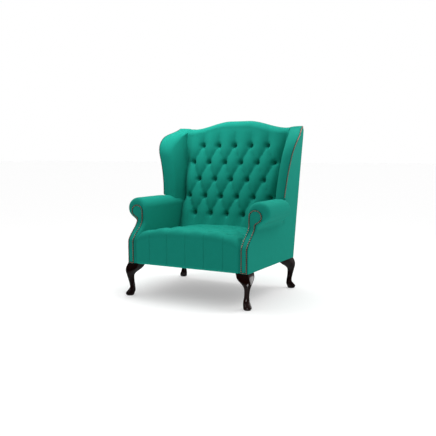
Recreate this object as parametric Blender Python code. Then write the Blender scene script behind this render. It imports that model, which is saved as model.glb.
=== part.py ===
import math

import bmesh
import bpy
from mathutils import Vector
from mathutils.geometry import interpolate_bezier

# A buttoned wing chair, a chair and a half wide. Metres. It faces -Y, stands on Z = 0 and is centred on X.

# Fits
CLEARANCE = 0.0003        # between pieces that touch
SOFT_GAP = 0.0010         # between a padded cover and a curved neighbour

# Outline of the upholstery
BASE_Z = 0.215            # underside of the upholstery, the height of the legs
FRONT_Y = -0.3947         # front plane of the seat and of the arm facings
BACK_FOOT_Y = 0.3223      # outer face of the back at the base
BACK_LEAN = 0.100         # how far the outer back goes back per metre of height
FRONT_HALF = 0.430        # half width over the base in front
SIDE_TAPER = 0.018        # how much further out each side is at the back
SIDE_SPLAY = 0.032        # how far the rear corners go out per metre of height
SIDE_THICK = 0.0775       # wing, outer face to inner face
PANEL = 0.006             # outside panels: fabric on board

# Seat
SEAT_CROWN_Z = 0.4525     # top of the seat at the middle of its front edge
SEAT_DOME = 0.0415        # how far the top falls from there to the arms
SEAT_RAKE = 0.042         # how far it falls per metre towards the back
SEAT_EDGE_RADIUS = 0.055  # roll over the front edge
SEAT_FRONT_PAD = 0.025    # padding before the front rail
SEAT_PILLOW = 0.026       # depth of the seat's tufts
SEAT_BUTTON_EDGE = 0.0295 # from the outermost buttons to the arm, at the base
SEAT_ROW_PITCH = 0.080
SEAT_FIRST_ROW = 0.0987   # from the front plane to the first row of buttons
SEAT_ROWS = 5
FRONT_PLEAT = 0.009       # depth of the pleats down the front
SEAT_TUCK = 0.55          # how much of the back's roll at the sides the seat follows

# Back
CREST_HIGH = 0.0525       # rise of the top of the back from its dips beside the wings to its middle
CREST_DIP = 0.0075        # how far the dips lie below the top of the wings
CREST_HUMP = 0.070        # half width of the flat of the hump
CREST_DIP_SET = 0.0105    # from the dip, where the hump has come down, to the arm's inner face
CREST_RISE = 0.060        # rise per metre from the dip to the corner
BUTTON_EDGE = 0.0555      # from the outermost buttons to the arm, at the base
ROW_PITCH = 0.1187
FIRST_ROW_DROP = 0.1195   # from the dip down to the first row of buttons
BUTTON_SET = 0.079        # from the outer back to the first row of buttons
BUTTON_LEAN = 0.2743      # how far the rows come forward per metre downwards
BACK_ROWS = 5
BACK_PILLOW = 0.034       # depth of the back's tufts
BACK_SIDE_DROP = 0.045    # the back rolls away beside the wings
CREST_PAD = 0.032         # padding over the crest rail
CREST_ROUND = 0.050       # roll over the top edge
BUTTON_WIDTH = 0.022
BUTTON_HIGH = 0.005

# Arms
SWEEP_START = 0.027       # the arm front is upright up to this far above the seat rails
SWEEP_END = 0.072         # and upright again from this far below the middle of the roll
SWEEP_BACK = 0.107        # how far it sweeps back between
ROLL_Z = 0.564
ROLL_RADIUS = 0.0685
ROLL_FALL = 0.009         # how far the arm is lower behind its roll, where the wing stands on it
ARM_PAD = 0.013           # how much further in the arm's inner face is than the wing's
ROLL_END_Y = 0.113        # rear end of the scroll roll
ROLL_ROUND = 0.050        # rounding of the roll's ends
FACING = 0.008            # thickness of the facing
FACING_WIDE = 0.0475      # width of the facing at its foot
LOOP_DROP = 0.019         # middle of the facing's round head, below the middle of the roll
LOOP_RADIUS = 0.0435

# Wings
WING_FOOT_Y = 0.0933      # front edge where it meets the arm
WING_FRONT_Y = 0.111      # front edge below the ear
EAR_TOP_Y = 0.192
EAR_TOP_Z = 1.036         # the top of the wing, the crest and the first buttons follow it
EAR_DROP = 0.136          # the front edge starts to turn back this far below it
WING_TOP_SET = 0.0247     # from the outer back to the end of the ogee
OGEE_RISE = 0.073         # rise of the ogee from the ear
WING_BOW = 0.006          # bow of the front edge above the arm
FLARE_START_Z = 0.580
EAR_FLARE = 0.230         # splay per metre of depth at the top of the ear
WING_ROLL = 0.045         # rounding of the wing's edge at the front and over the ear
WING_ROLL_REAR = 0.014    # and where its top meets the back

# Nail trim
NAIL_RADIUS = 0.0042
NAIL_INSET = 0.005        # from the edge of the panel or facing to the nails' centre line

# Frame timber and springs
RAIL_THICK = 0.025
SEAT_PAD = 0.086          # from the top of the seat rails to the top of the seat beside the arms
SIDE_TIMBER = 0.0224      # timber inside the arms and wings
BACK_TIMBER = 0.0247
POST_WIDTH = 0.045
LOWER_RAIL_Z = 0.430
RAIL_DEEP = 0.055         # depth of the crest rail and the lower rail
WING_POST_WIDE = 0.055
WING_RAIL_DEEP = 0.033
ARM_RAIL_DROP = 0.029     # underside of the arm rail, below the middle of the roll
ARM_RAIL_DEEP = 0.028
ARM_POST_SET = 0.016      # padding before the arm post
ARM_POST_WIDE = 0.060
WING_EDGE_PAD = 0.030     # padding before the wing frame
STRAP_THICK = 0.0025
STRAP_WIDE = 0.050
STRAP_EDGE = 0.1455       # from the outermost straps' middle to the arm, at the base
STRAPS = 4
SPRING_WIRE = 0.0020      # radius of the wire
SPRING_EDGE = 0.1075      # from the outermost springs' middle to the arm, at the base
SPRINGS = 5
SPRING_WAVE = 0.018       # half width of the zigzag
SPRING_WAVES = 9
PLATFORM = 0.006
DUST_COVER = 0.0015
BLOCK_SIDE = 0.080
BLOCK_HIGH = 0.045
LEG_ROOM = 0.020          # between the leg and the dust cover
BOLT_RADIUS = 0.005
BOLT_IN_LEG = 0.024
BOLT_SET = 0.011          # from the leg's inner corner planes to the bolt
NUT_RADIUS = 0.0095
NUT_HIGH = 0.008

# Legs: height as a share of the leg, then shares of the leg's side: offset along the outward diagonal,
# half length along it, half width across it. Last the roundness: 1 is a square seen cornerwise, 2 an ellipse
LEG_SIDE = 0.082
LEG_STATIONS = (
    (1.00, 0.0000, 0.7073, 0.7073, 1.05),
    (0.95, 0.0976, 0.7073, 0.7012, 1.08),
    (0.87, 0.2134, 0.6829, 0.6463, 1.15),
    (0.80, 0.3415, 0.5854, 0.5366, 1.30),
    (0.72, 0.4756, 0.4207, 0.3841, 1.55),
    (0.65, 0.5305, 0.3146, 0.2780, 1.75),
    (0.57, 0.5183, 0.2744, 0.2195, 1.90),
    (0.43, 0.4573, 0.2280, 0.1854, 2.00),
    (0.31, 0.4024, 0.2134, 0.1976, 2.00),
    (0.22, 0.3963, 0.2317, 0.2439, 2.00),
    (0.14, 0.4817, 0.3195, 0.2805, 1.95),
    (0.07, 0.5915, 0.3537, 0.3073, 1.90),
    (0.02, 0.5915, 0.3073, 0.2866, 1.90),
    (0.00, 0.5915, 0.2537, 0.2378, 1.95),
)
LEG_SIDES = 16

FINISHES = {
    "green_wool": ((0.012, 0.205, 0.150), 0.90, 0.0),
    "polished_mahogany": ((0.012, 0.003, 0.003), 0.22, 0.0),
    "beech": ((0.520, 0.340, 0.180), 0.60, 0.0),
    "bronze_nail": ((0.260, 0.120, 0.075), 0.35, 1.0),
    "steel": ((0.350, 0.350, 0.360), 0.35, 1.0),
    "hessian": ((0.330, 0.230, 0.120), 0.95, 0.0),
    "felt": ((0.240, 0.230, 0.210), 0.95, 0.0),
    "black_cambric": ((0.012, 0.012, 0.012), 0.95, 0.0),
}

RIGHT, LEFT = 1, -1
SIDES = (("right", RIGHT), ("left", LEFT))

for old in list(bpy.data.objects):
    bpy.data.objects.remove(old, do_unlink=True)

chair = bpy.data.collections.new("wing_chair_and_a_half")
cutters = bpy.data.collections.new("wing_chair_cutters")
for collection in (chair, cutters):
    bpy.context.scene.collection.children.link(collection)


# Small helpers

def smooth(t):
    t = min(1.0, max(0.0, t))
    return t * t * (3.0 - 2.0 * t)


def mix(a, b, t):
    return a + (b - a) * t


def spread(low, high, count):
    return [mix(low, high, i / (count - 1)) for i in range(count)]


def material_for(name, finish):
    colour, roughness, metallic = FINISHES[finish]
    made = bpy.data.materials.new(name + "_" + finish)
    made.use_nodes = True
    shader = made.node_tree.nodes["Principled BSDF"]
    shader.inputs["Base Color"].default_value = (*colour, 1.0)
    shader.inputs["Roughness"].default_value = roughness
    shader.inputs["Metallic"].default_value = metallic
    made.diffuse_color = (*colour, 1.0)
    return made


def add_object(name, data, finish):
    made = bpy.data.objects.new(name, data)
    chair.objects.link(made)
    data.materials.append(material_for(name, finish))
    return made


def add_mesh(name, bm, finish, side=RIGHT, sharp_degrees=35):
    """Make the object from a shape modelled on the right, mirrored if it belongs on the left."""
    for vert in bm.verts:
        vert.co.x *= side
    bmesh.ops.recalc_face_normals(bm, faces=bm.faces[:])
    mesh = bpy.data.meshes.new(name)
    bm.to_mesh(mesh)
    bm.free()
    mesh.shade_smooth()
    mesh.set_sharp_from_angle(angle=math.radians(sharp_degrees))
    return add_object(name, mesh, finish)


def add_cutter(name, bm, side, target):
    cutter = add_mesh(name, bm, "beech", side)
    chair.objects.unlink(cutter)
    cutters.objects.link(cutter)
    cutter.hide_render = True
    cutter.display_type = "WIRE"
    cut = target.modifiers.new(name, "BOOLEAN")
    cut.operation = "DIFFERENCE"
    cut.solver = "EXACT"
    cut.object = cutter


def loft(rings, ladder=False):
    """Skin rings of equal length. A ladder end joins each point of a ring with the one across from it."""
    bm = bmesh.new()
    loops = [[bm.verts.new(point) for point in ring] for ring in rings]
    count = len(loops[0])
    for low, high in zip(loops, loops[1:]):
        for i in range(count):
            j = (i + 1) % count
            bm.faces.new((low[i], low[j], high[j], high[i]))
    for end in (loops[0], loops[-1]):
        if not ladder:
            bm.faces.new(end)
            continue
        for i in range(count // 2 - 1):
            bm.faces.new((end[i], end[i + 1], end[count - 2 - i], end[count - 1 - i]))
    return bm


def prism(outline, low_z, high_z):
    return loft([[(x, y, z) for x, y in outline] for z in (low_z, high_z)])


def box(x, y, z):
    return prism([(x[0], y[0]), (x[1], y[0]), (x[1], y[1]), (x[0], y[1])], z[0], z[1])


def turned(centre, profile, sides):
    """A round piece on a vertical axis from (height, radius) pairs, bottom to top."""
    circle = [(math.cos(turn), math.sin(turn)) for turn in spread(0.0, 2.0 * math.pi, sides + 1)[:-1]]
    return loft([[(centre[0] + r * c, centre[1] + r * s, z) for c, s in circle] for z, r in profile])


def add_wire(name, points, radius, finish, closed=False, bevel_resolution=1):
    curve = bpy.data.curves.new(name, "CURVE")
    curve.dimensions = "3D"
    curve.bevel_depth = radius
    curve.bevel_resolution = bevel_resolution
    curve.use_fill_caps = not closed
    spline = curve.splines.new("POLY")
    spline.points.add(len(points) - 1)
    for slot, point in zip(spline.points, points):
        slot.co = (*point, 1.0)
    spline.use_cyclic_u = closed
    return add_object(name, curve, finish)


def padded_sheet(outer, inner, buttons):
    """A closed pad from two grids of points, its outer face and its inner face. The outer face is split along
    its valleys and gets a button at each (row, column) of buttons. Flat stretches of the inner face merge."""
    bm = bmesh.new()
    top, under = [[[bm.verts.new(point) for point in row] for row in grid] for grid in (outer, inner)]
    rows, columns = len(outer), len(outer[0])
    backing = []
    for i in range(rows - 1):
        for j in range(columns - 1):
            corners = [(i, j), (i, j + 1), (i + 1, j + 1), (i + 1, j)]
            backing.append(bm.faces.new([under[k][m] for k, m in corners]))
            thick = [(top[k][m].co - under[k][m].co).length for k, m in corners]
            if thick[1] + thick[3] < thick[0] + thick[2]:
                corners = corners[1:] + corners[:1]
            first, second, third, fourth = [top[k][m] for k, m in corners]
            bm.faces.new((first, second, third))
            bm.faces.new((first, third, fourth))
    rim = [(0, j) for j in range(columns)]
    rim += [(i, columns - 1) for i in range(1, rows)]
    rim += [(rows - 1, j) for j in range(columns - 2, -1, -1)]
    rim += [(i, 0) for i in range(rows - 2, 0, -1)]
    for (i, j), (k, m) in zip(rim, rim[1:] + rim[:1]):
        bm.faces.new((top[i][j], top[k][m], under[k][m], under[i][j]))
    edges = list({edge for face in backing for edge in face.edges})
    verts = list({vert for face in backing for vert in face.verts})
    bm.normal_update()
    bmesh.ops.dissolve_limit(bm, angle_limit=math.radians(0.2), verts=verts, edges=edges)
    bmesh.ops.remove_doubles(bm, verts=bm.verts[:], dist=1e-6)
    bmesh.ops.recalc_face_normals(bm, faces=bm.faces[:])
    for i, j in buttons:
        add_button(bm, top[i][j])
    return bm


def add_button(bm, vert):
    """Turn a vertex at the bottom of a tuft into a low dome."""
    floor = vert.co.copy()
    cut = bmesh.ops.bevel(bm, geom=[vert], offset=0.5 * BUTTON_WIDTH, offset_type="OFFSET", segments=1,
                          profile=0.5, affect="VERTICES", material=-1)
    dome = max(cut["faces"], key=lambda face: len(face.verts))
    dome.normal_update()
    facing = dome.normal.copy()
    for corner in dome.verts:
        corner.co -= facing * (corner.co - floor).dot(facing)
    bmesh.ops.poke(bm, faces=[dome], offset=BUTTON_HIGH)


# Sizes that follow from the ones above

REAR_HALF = FRONT_HALF + SIDE_TAPER                         # half width over the base at the back
BACK_HALF = REAR_HALF - SIDE_THICK                          # between the wings
SEAT_HALF = BACK_HALF - ARM_PAD                             # and between the arms
SEAT_BUTTON_PITCH = (SEAT_HALF - SEAT_BUTTON_EDGE) / 2.5    # the outermost buttons are 2.5 pitches out
BUTTON_PITCH = (BACK_HALF - BUTTON_EDGE) / 2.5
STRAP_PITCH = 2.0 * (BACK_HALF - STRAP_EDGE) / (STRAPS - 1)
SPRING_PITCH = 2.0 * (SEAT_HALF - SPRING_EDGE) / (SPRINGS - 1)
SEAT_FIRST_ROW_Y = FRONT_Y + SEAT_FIRST_ROW
SEAT_SIDE_Z = SEAT_CROWN_Z - SEAT_DOME                      # top of the seat beside the arms
RAIL_TOP_Z = SEAT_SIDE_Z - SEAT_PAD
SWEEP_LOW_Z = RAIL_TOP_Z + SWEEP_START
SWEEP_HIGH_Z = ROLL_Z - SWEEP_END
ARM_RAIL_Z = ROLL_Z - ARM_RAIL_DROP
LOOP_Z = ROLL_Z - LOOP_DROP
FACING_INNER_X = FRONT_HALF - FACING_WIDE
EAR_LOW_Z = EAR_TOP_Z - EAR_DROP
WING_TOP_Z = EAR_TOP_Z + OGEE_RISE
CREST_DIP_Z = WING_TOP_Z - CREST_DIP
CREST_DIP_X = BACK_HALF - CREST_DIP_SET
CREST_Z = CREST_DIP_Z + CREST_HIGH                          # the height of the chair
FIRST_ROW_Z = CREST_DIP_Z - FIRST_ROW_DROP


# Surfaces that the pieces share

def outer_back_y(z):
    return BACK_FOOT_Y + BACK_LEAN * (z - BASE_Z)


def rear_half(z):
    return REAR_HALF + SIDE_SPLAY * (z - BASE_Z)


def inner_half(z):
    return rear_half(z) - SIDE_THICK


def arm_inner(z):
    """Inner face of the arm, upright below the middle of its roll and bent back to the wing's face above."""
    lift = min(ROLL_RADIUS, max(0.0, z - ROLL_Z))
    bend = ROLL_RADIUS - math.sqrt(ROLL_RADIUS ** 2 - lift ** 2)
    return inner_half(z) - max(0.0, ARM_PAD - bend)


ARM_TOP_Z = ROLL_Z + ROLL_RADIUS - ROLL_FALL                # behind the roll
ROLL_UNDER_Z = ROLL_Z - ROLL_RADIUS
ROLL_X = arm_inner(ROLL_Z) + ROLL_RADIUS
FIRST_ROW_Y = outer_back_y(FIRST_ROW_Z) - BUTTON_SET
WING_TOP_Y = outer_back_y(WING_TOP_Z) - WING_TOP_SET        # where the ogee ends
BACK_FRAME = PANEL + CLEARANCE + BACK_TIMBER                # from the outer back to the timber's front
BACK_PAD_REAR = BACK_FRAME + STRAP_THICK + 3 * CLEARANCE    # and to the rear of the padding
SIDE_OUTER = PANEL + 2 * CLEARANCE                          # from the outer side to the timber's outer face
SIDE_INNER = SIDE_OUTER + SIDE_TIMBER                       # and to its inner face
PLATFORM_Z = RAIL_TOP_Z + 2 * SPRING_WIRE + 2 * CLEARANCE   # underside of the platform
PAD_FLOOR_Z = PLATFORM_Z + PLATFORM + CLEARANCE             # underside of the seat and back padding


def wing_flare(y, z):
    rise = max(0.0, z - FLARE_START_Z) / (EAR_TOP_Z - FLARE_START_Z)
    return EAR_FLARE * rise ** 2 * (outer_back_y(z) - y)


def side_x(y, z):
    """Outer face of the arm and wing on the right: straight along the arm, splayed at the ear."""
    arm = mix(FRONT_HALF, rear_half(z), (y - FRONT_Y) / (outer_back_y(z) - FRONT_Y))
    wing = rear_half(z) + wing_flare(y, z)
    return mix(arm, wing, smooth((z - ROLL_UNDER_Z) / (ARM_TOP_Z - ROLL_UNDER_Z)))


def back_edge_x(y, z):
    """Where the inside back ends at the right arm, and above that at the splayed wing."""
    return inner_half(z) + (wing_flare(y, z) if z > ARM_TOP_Z else -ARM_PAD) - SOFT_GAP


def side_point(y, z, depth):
    return (side_x(y, z) - depth, y, z)


def arm_front_y(z):
    return FRONT_Y + SWEEP_BACK * smooth((z - SWEEP_LOW_Z) / (SWEEP_HIGH_Z - SWEEP_LOW_Z))


def crest_z(x):
    x = abs(x)
    fall = smooth((x - CREST_HUMP) / (CREST_DIP_X - CREST_HUMP))
    return mix(CREST_Z, CREST_DIP_Z, fall) + CREST_RISE * max(0.0, x - CREST_DIP_X)


def crest_rail_top(x):
    return crest_z(x) - CREST_PAD - SOFT_GAP


POST_TOP_Z = crest_rail_top(rear_half(CREST_DIP_Z))


def button_y(z):
    return FIRST_ROW_Y - BUTTON_LEAN * (FIRST_ROW_Z - z)


def side_drop(x, z):
    """How far the inside back rolls away towards its side."""
    room = outer_back_y(z) - BACK_PAD_REAR - button_y(z)
    start = 2.5 * BUTTON_PITCH
    share = (abs(x) - start) / (inner_half(z) - start)
    return min(BACK_SIDE_DROP, 0.6 * room) * max(0.0, share) ** 2


def wing_outline():
    """Front edge, ear and ogee top of the wing, from the arm to the outer back, as (y, z) points."""
    foot = Vector((WING_FOOT_Y, ARM_TOP_Z + SOFT_GAP, 0.0))
    ear_low = Vector((WING_FRONT_Y, EAR_LOW_Z, 0.0))
    ear_top = Vector((EAR_TOP_Y, EAR_TOP_Z, 0.0))
    top = Vector((WING_TOP_Y, WING_TOP_Z, 0.0))
    upright, ear, ogee = ear_low - foot, ear_top - ear_low, top - ear_top
    edge = interpolate_bezier(foot, foot + 0.35 * upright + Vector((WING_BOW, 0.0, 0.0)),
                              ear_low - Vector((0.0, 0.363 * upright.y, 0.0)), ear_low, 7)
    edge += interpolate_bezier(ear_low, ear_low + Vector((0.0, 0.5 * ear.y, 0.0)),
                               ear_top - Vector((0.519 * ear.x, 0.206 * ear.y, 0.0)), ear_top, 8)[1:]
    edge += interpolate_bezier(ear_top, ear_top + Vector((0.282 * ogee.x, 0.466 * ogee.y, 0.0)),
                               top - Vector((0.282 * ogee.x, 0.411 * ogee.y, 0.0)), top, 8)[1:]
    return [(point.x, point.y) for point in edge]


WING_EDGE = wing_outline()


def wing_depth(y, z):
    """Distance from a point of the wing to its front and top edge."""
    here = Vector((y, z))
    nearest = math.inf
    for low, high in zip(WING_EDGE, WING_EDGE[1:]):
        a = Vector(low)
        along = Vector(high) - a
        t = min(1.0, max(0.0, (here - a).dot(along) / along.length_squared))
        nearest = min(nearest, (here - a - along * t).length)
    return nearest


# Tufting

def tuft(across, along, first, last, sides):
    """Height of the tufted surface, from 0 at a button to 1 on a pillow. Buttons stand at whole numbers whose
    sum is even. Outside the buttoned field the pleats run straight on, towards the edges."""
    a = min(sides, abs(across))
    b = min(last, max(first, along))
    pillow = abs(math.sin(0.5 * math.pi * (a + b)) * math.sin(0.5 * math.pi * (a - b)))
    column, row = round(across), round(b)
    if (column + row) % 2:
        column += 1 if across > column else -1
    near = math.hypot(across - column, along - row)
    pleat = 1.0 - math.exp(-(near / 0.38) ** 2)
    return 0.36 * pleat + 0.64 * math.sqrt(pillow)


def button_grid(rows):
    """Rows and half-pitch columns of the buttons. The first and last rows are the ones inside the others."""
    return [(row, column) for row in range(rows) for column in range(11) if (row + column) % 2]


def back_pad():
    half_pitch = 0.5 * BUTTON_PITCH
    last_row_z = FIRST_ROW_Z - (BACK_ROWS - 1) * ROW_PITCH
    steps = 3
    field = [FIRST_ROW_Z - ROW_PITCH * i / steps for i in range((BACK_ROWS - 1) * steps + 1)]
    field.reverse()
    skirt = spread(PAD_FLOOR_Z, last_row_z, 4)[:-1]
    inner_columns = [half_pitch * i / steps for i in range(-5 * steps, 5 * steps + 1)]
    outer, inner = [], []

    def columns(z):
        edge = inner_half(z) - SOFT_GAP - (ARM_PAD if z <= ARM_TOP_Z else 0.0)
        return [-edge, -0.5 * (edge + inner_columns[-1])] + inner_columns + [
            0.5 * (edge + inner_columns[-1]), edge]

    def front(x, z):
        across, along = x / half_pitch, (z - FIRST_ROW_Z) / ROW_PITCH
        height = tuft(across, along, 1.0 - BACK_ROWS, 0.0, 5.0)
        hidden = smooth((last_row_z - z) / ROW_PITCH)
        fade = smooth(along)
        height = mix(height, 1.0, max(hidden, 0.8 * fade))
        return button_y(z) - BACK_PILLOW * height + side_drop(x, z)

    def add_row(points):
        """Add a row of outer and inner points, its outer ends drawn out to the wings."""
        row = [point for point, rear in points]
        for end, side in ((0, LEFT), (-1, RIGHT)):
            x, y, z = row[end]
            row[end] = (side * back_edge_x(y, z), y, z)
        outer.append(row)
        inner.append([rear for point, rear in points])

    for z in skirt + field:
        rear_y = outer_back_y(z) - BACK_PAD_REAR
        add_row([((x, front(x, z), z), (x, rear_y, z)) for x in columns(z)])
    rear_lip = PANEL + CLEARANCE
    for share in (0.35, 0.70, 1.0):
        row = []
        for x in columns(FIRST_ROW_Z):
            z = mix(FIRST_ROW_Z, crest_z(x) - CREST_ROUND, share)
            rear_z = min(z, crest_z(x) - CREST_PAD)
            row.append(((x, front(x, z), z), (x, outer_back_y(rear_z) - BACK_PAD_REAR, rear_z)))
        add_row(row)
    lip_steps = 5
    for step in range(lip_steps):
        turn = math.pi * (step + 1.0) / (lip_steps + 1.0)
        row = []
        for x in columns(FIRST_ROW_Z):
            start_z = crest_z(x) - CREST_ROUND
            near_y = front(x, start_z)
            far_y = outer_back_y(crest_z(x)) - rear_lip
            z = start_z + CREST_ROUND * math.sin(turn)
            y = mix(near_y, far_y, 0.5 - 0.5 * math.cos(turn))
            rear_z = crest_z(x) - CREST_PAD
            pad_y = outer_back_y(rear_z) - BACK_PAD_REAR
            under_y = mix(pad_y, outer_back_y(rear_z) - rear_lip, step / lip_steps)
            row.append(((x, y, z), (x, under_y, rear_z)))
        add_row(row)
    row = []
    for x in columns(FIRST_ROW_Z):
        rear_z = crest_z(x) - CREST_PAD
        low_z = rear_z + 0.25 * CREST_PAD
        row.append(tuple((x, outer_back_y(end_z) - rear_lip, end_z) for end_z in (low_z, rear_z)))
    add_row(row)
    buttons = [(len(skirt) + steps * row, 2 + steps * column) for row, column in button_grid(BACK_ROWS)]
    return padded_sheet(outer, inner, buttons)


def seat_pad():
    half_pitch = 0.5 * SEAT_BUTTON_PITCH
    steps = 3
    last_row_y = SEAT_FIRST_ROW_Y + (SEAT_ROWS - 1) * SEAT_ROW_PITCH
    rail_front = FRONT_Y + SEAT_FRONT_PAD - CLEARANCE
    edge_start_y = FRONT_Y + SEAT_EDGE_RADIUS
    field = [SEAT_FIRST_ROW_Y + SEAT_ROW_PITCH * i / steps for i in range((SEAT_ROWS - 1) * steps + 1)]
    field.reverse()
    inner_columns = [half_pitch * i / steps for i in range(-5 * steps, 5 * steps + 1)]
    outer, inner = [], []

    edge = arm_inner(PAD_FLOOR_Z) - SOFT_GAP

    def columns(y):
        """The outermost columns go out to the facings where the seat is before the arms' padding."""
        half = mix(FACING_INNER_X - SOFT_GAP, edge, min(1.0, (y - FRONT_Y) / SEAT_FRONT_PAD))
        return [-half] + inner_columns + [half]

    def crown(x, y):
        return mix(SEAT_CROWN_Z, SEAT_SIDE_Z, (x / SEAT_HALF) ** 2) - SEAT_RAKE * max(0.0, y - edge_start_y)

    def height(x, y):
        across, along = x / half_pitch, (y - SEAT_FIRST_ROW_Y) / SEAT_ROW_PITCH
        return mix(tuft(across, along, 0.0, SEAT_ROWS - 1.0, 5.0), 1.0, smooth(along - (SEAT_ROWS - 1.0)))

    def pleat(x):
        return 1.0 - height(x, SEAT_FIRST_ROW_Y - SEAT_ROW_PITCH)

    def rear_y(x, z):
        return button_y(z) - BACK_PILLOW + SEAT_TUCK * side_drop(x, z) - SOFT_GAP

    def add_row(points):
        outer.append([point for point, under in points])
        inner.append([under for point, under in points])

    row = []
    for x in columns(last_row_y):
        y = rear_y(x, crown(x, last_row_y))
        z = crown(x, y)
        row.append(((x, rear_y(x, z), z), (x, rear_y(x, PAD_FLOOR_Z), PAD_FLOOR_Z)))
    add_row(row)
    for y in [0.5 * (last_row_y + rear_y(0.0, SEAT_SIDE_Z))] + field + [edge_start_y]:
        row = []
        for x in columns(y):
            z = crown(x, y) - SEAT_PILLOW * (1.0 - height(x, y))
            row.append(((x, y, z), (x, y, PAD_FLOOR_Z)))
        add_row(row)
    for degrees in (22.5, 45.0, 67.5, 90.0):
        turn = math.radians(degrees)
        row = []
        under = columns(edge_start_y)
        for x, under_x in zip(columns(edge_start_y - SEAT_EDGE_RADIUS * math.sin(turn)), under):
            reach = SEAT_EDGE_RADIUS - mix(SEAT_PILLOW, FRONT_PLEAT, degrees / 90.0) * pleat(x)
            y = edge_start_y - reach * math.sin(turn)
            z = crown(x, y) - SEAT_EDGE_RADIUS + reach * math.cos(turn)
            row.append(((x, y, z), (under_x, mix(edge_start_y, rail_front, degrees / 90.0), PAD_FLOOR_Z)))
        add_row(row)
    for share in (0.30, 0.65, 1.0):
        row = []
        for x, under_x in zip(columns(FRONT_Y), columns(edge_start_y)):
            z = mix(crown(x, FRONT_Y) - SEAT_EDGE_RADIUS, BASE_Z, share)
            y = FRONT_Y + FRONT_PLEAT * pleat(x) * mix(1.0, 0.5, share)
            row.append(((x, y, z), (under_x, rail_front, mix(PAD_FLOOR_Z, BASE_Z, share))))
        add_row(row)
    buttons = [(2 + steps * row, 1 + steps * column) for row, column in button_grid(SEAT_ROWS)]
    return padded_sheet(outer, inner, buttons)


# Arms

ARM_LEVELS = 9
ROLL_ANGLES = (-78, -58, -36, -12, 12, 36, 58, 74, 86)


def arm_levels():
    """Heights where the upright part of an arm is divided, shared by all that follows its swept front."""
    return spread(RAIL_TOP_Z + CLEARANCE, ROLL_UNDER_Z - SOFT_GAP, ARM_LEVELS)


def arm_ring(centre_x, centre_z, radius, inner_reach, left, right, place_y):
    """Outline of an arm section, up the inner side, round the roll and down the outer side."""
    inner, outer = [], []
    for z in arm_levels():
        inner.append((left(z), place_y(z), z))
        outer.append((right(z), place_y(z), z))
    for degrees in ROLL_ANGLES:
        turn = math.radians(degrees)
        z = centre_z + radius * math.sin(turn)
        reach = radius * math.cos(turn)
        start = left(z) if degrees < 0 else centre_x - inner_reach * math.cos(turn)
        inner.append((start, place_y(z), z))
        outer.append((centre_x + reach, place_y(z), z))
    return inner + outer[::-1]


def slab_ring(y):
    """The arm behind its roll, where it is as high as the roll and stays inside the wing's timber."""
    levels = arm_levels() + spread(ROLL_UNDER_Z, ARM_TOP_Z, len(ROLL_ANGLES) + 1)[1:]
    inner = [(arm_inner(z), y, z) for z in levels]
    outer = [(side_x(y, z) - SIDE_INNER - SOFT_GAP, y, z) for z in levels]
    return inner + outer[::-1]


def arm_pad():
    loop_x = FACING_INNER_X + LOOP_RADIUS

    def panel_inner(y):
        return lambda z: side_x(y, min(z, ROLL_UNDER_Z)) - PANEL - CLEARANCE

    rings = []
    for degrees in (0, 30, 60, 90):
        turn = math.radians(degrees)
        grow = math.sin(turn)
        start = FACING + SOFT_GAP + ROLL_ROUND * (1.0 - math.cos(turn))
        radius = mix(LOOP_RADIUS, ROLL_RADIUS, grow)
        rings.append(arm_ring(
            mix(loop_x, ROLL_X, grow), mix(LOOP_Z, ROLL_Z, grow), radius, radius,
            lambda z: mix(FACING_INNER_X, arm_inner(z), grow),
            lambda z: side_x(arm_front_y(z) + start, min(z, ROLL_UNDER_Z)) - PANEL - CLEARANCE,
            lambda z: arm_front_y(z) + start))
    middle_y = 0.5 * (arm_front_y(ROLL_Z) + ROLL_END_Y)
    for y, share in ((middle_y, 1.0), (ROLL_END_Y - ROLL_ROUND, 1.0), (ROLL_END_Y - 0.5 * ROLL_ROUND, 0.88),
                     (ROLL_END_Y - 0.1 * ROLL_ROUND, 0.70)):
        rings.append(arm_ring(ROLL_X, ROLL_Z, share * ROLL_RADIUS, ROLL_RADIUS, arm_inner, panel_inner(y),
                              lambda z: y))
    rings.append(slab_ring(ROLL_END_Y))
    rings.append(slab_ring(outer_back_y(RAIL_TOP_Z) - BACK_PAD_REAR - CLEARANCE))
    return loft(rings, ladder=True)


def facing_levels():
    return [BASE_Z] + arm_levels()


def arm_facing():
    loop_x = FACING_INNER_X + LOOP_RADIUS
    rings = []
    spans = [(z, FACING_INNER_X, side_x(arm_front_y(z), z)) for z in facing_levels()]
    for degrees in ROLL_ANGLES:
        turn = math.radians(degrees)
        reach = LOOP_RADIUS * math.cos(turn)
        start = FACING_INNER_X if degrees < 0 else loop_x - reach
        spans.append((LOOP_Z + LOOP_RADIUS * math.sin(turn), start, loop_x + reach))
    for z, start, end in spans:
        y = arm_front_y(z)
        rings.append([(start, y, z), (end, y, z), (end, y + FACING, z), (start, y + FACING, z)])
    return loft(rings)


def arm_post(grow, shallow):
    """The swept arm post, or with grow the pocket for it, whose open side may reach past the padding."""
    rings = []
    levels = spread(RAIL_TOP_Z + CLEARANCE - grow, ARM_RAIL_Z - CLEARANCE + grow, 10)
    for z in levels:
        near = arm_front_y(z) + FACING + ARM_POST_SET - grow
        far = near + ARM_POST_WIDE + 2 * grow
        deep = SIDE_INNER + grow
        rings.append([side_point(near, z, deep), side_point(near, z, shallow),
                      side_point(far, z, shallow), side_point(far, z, deep)])
    return loft(rings)


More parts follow.
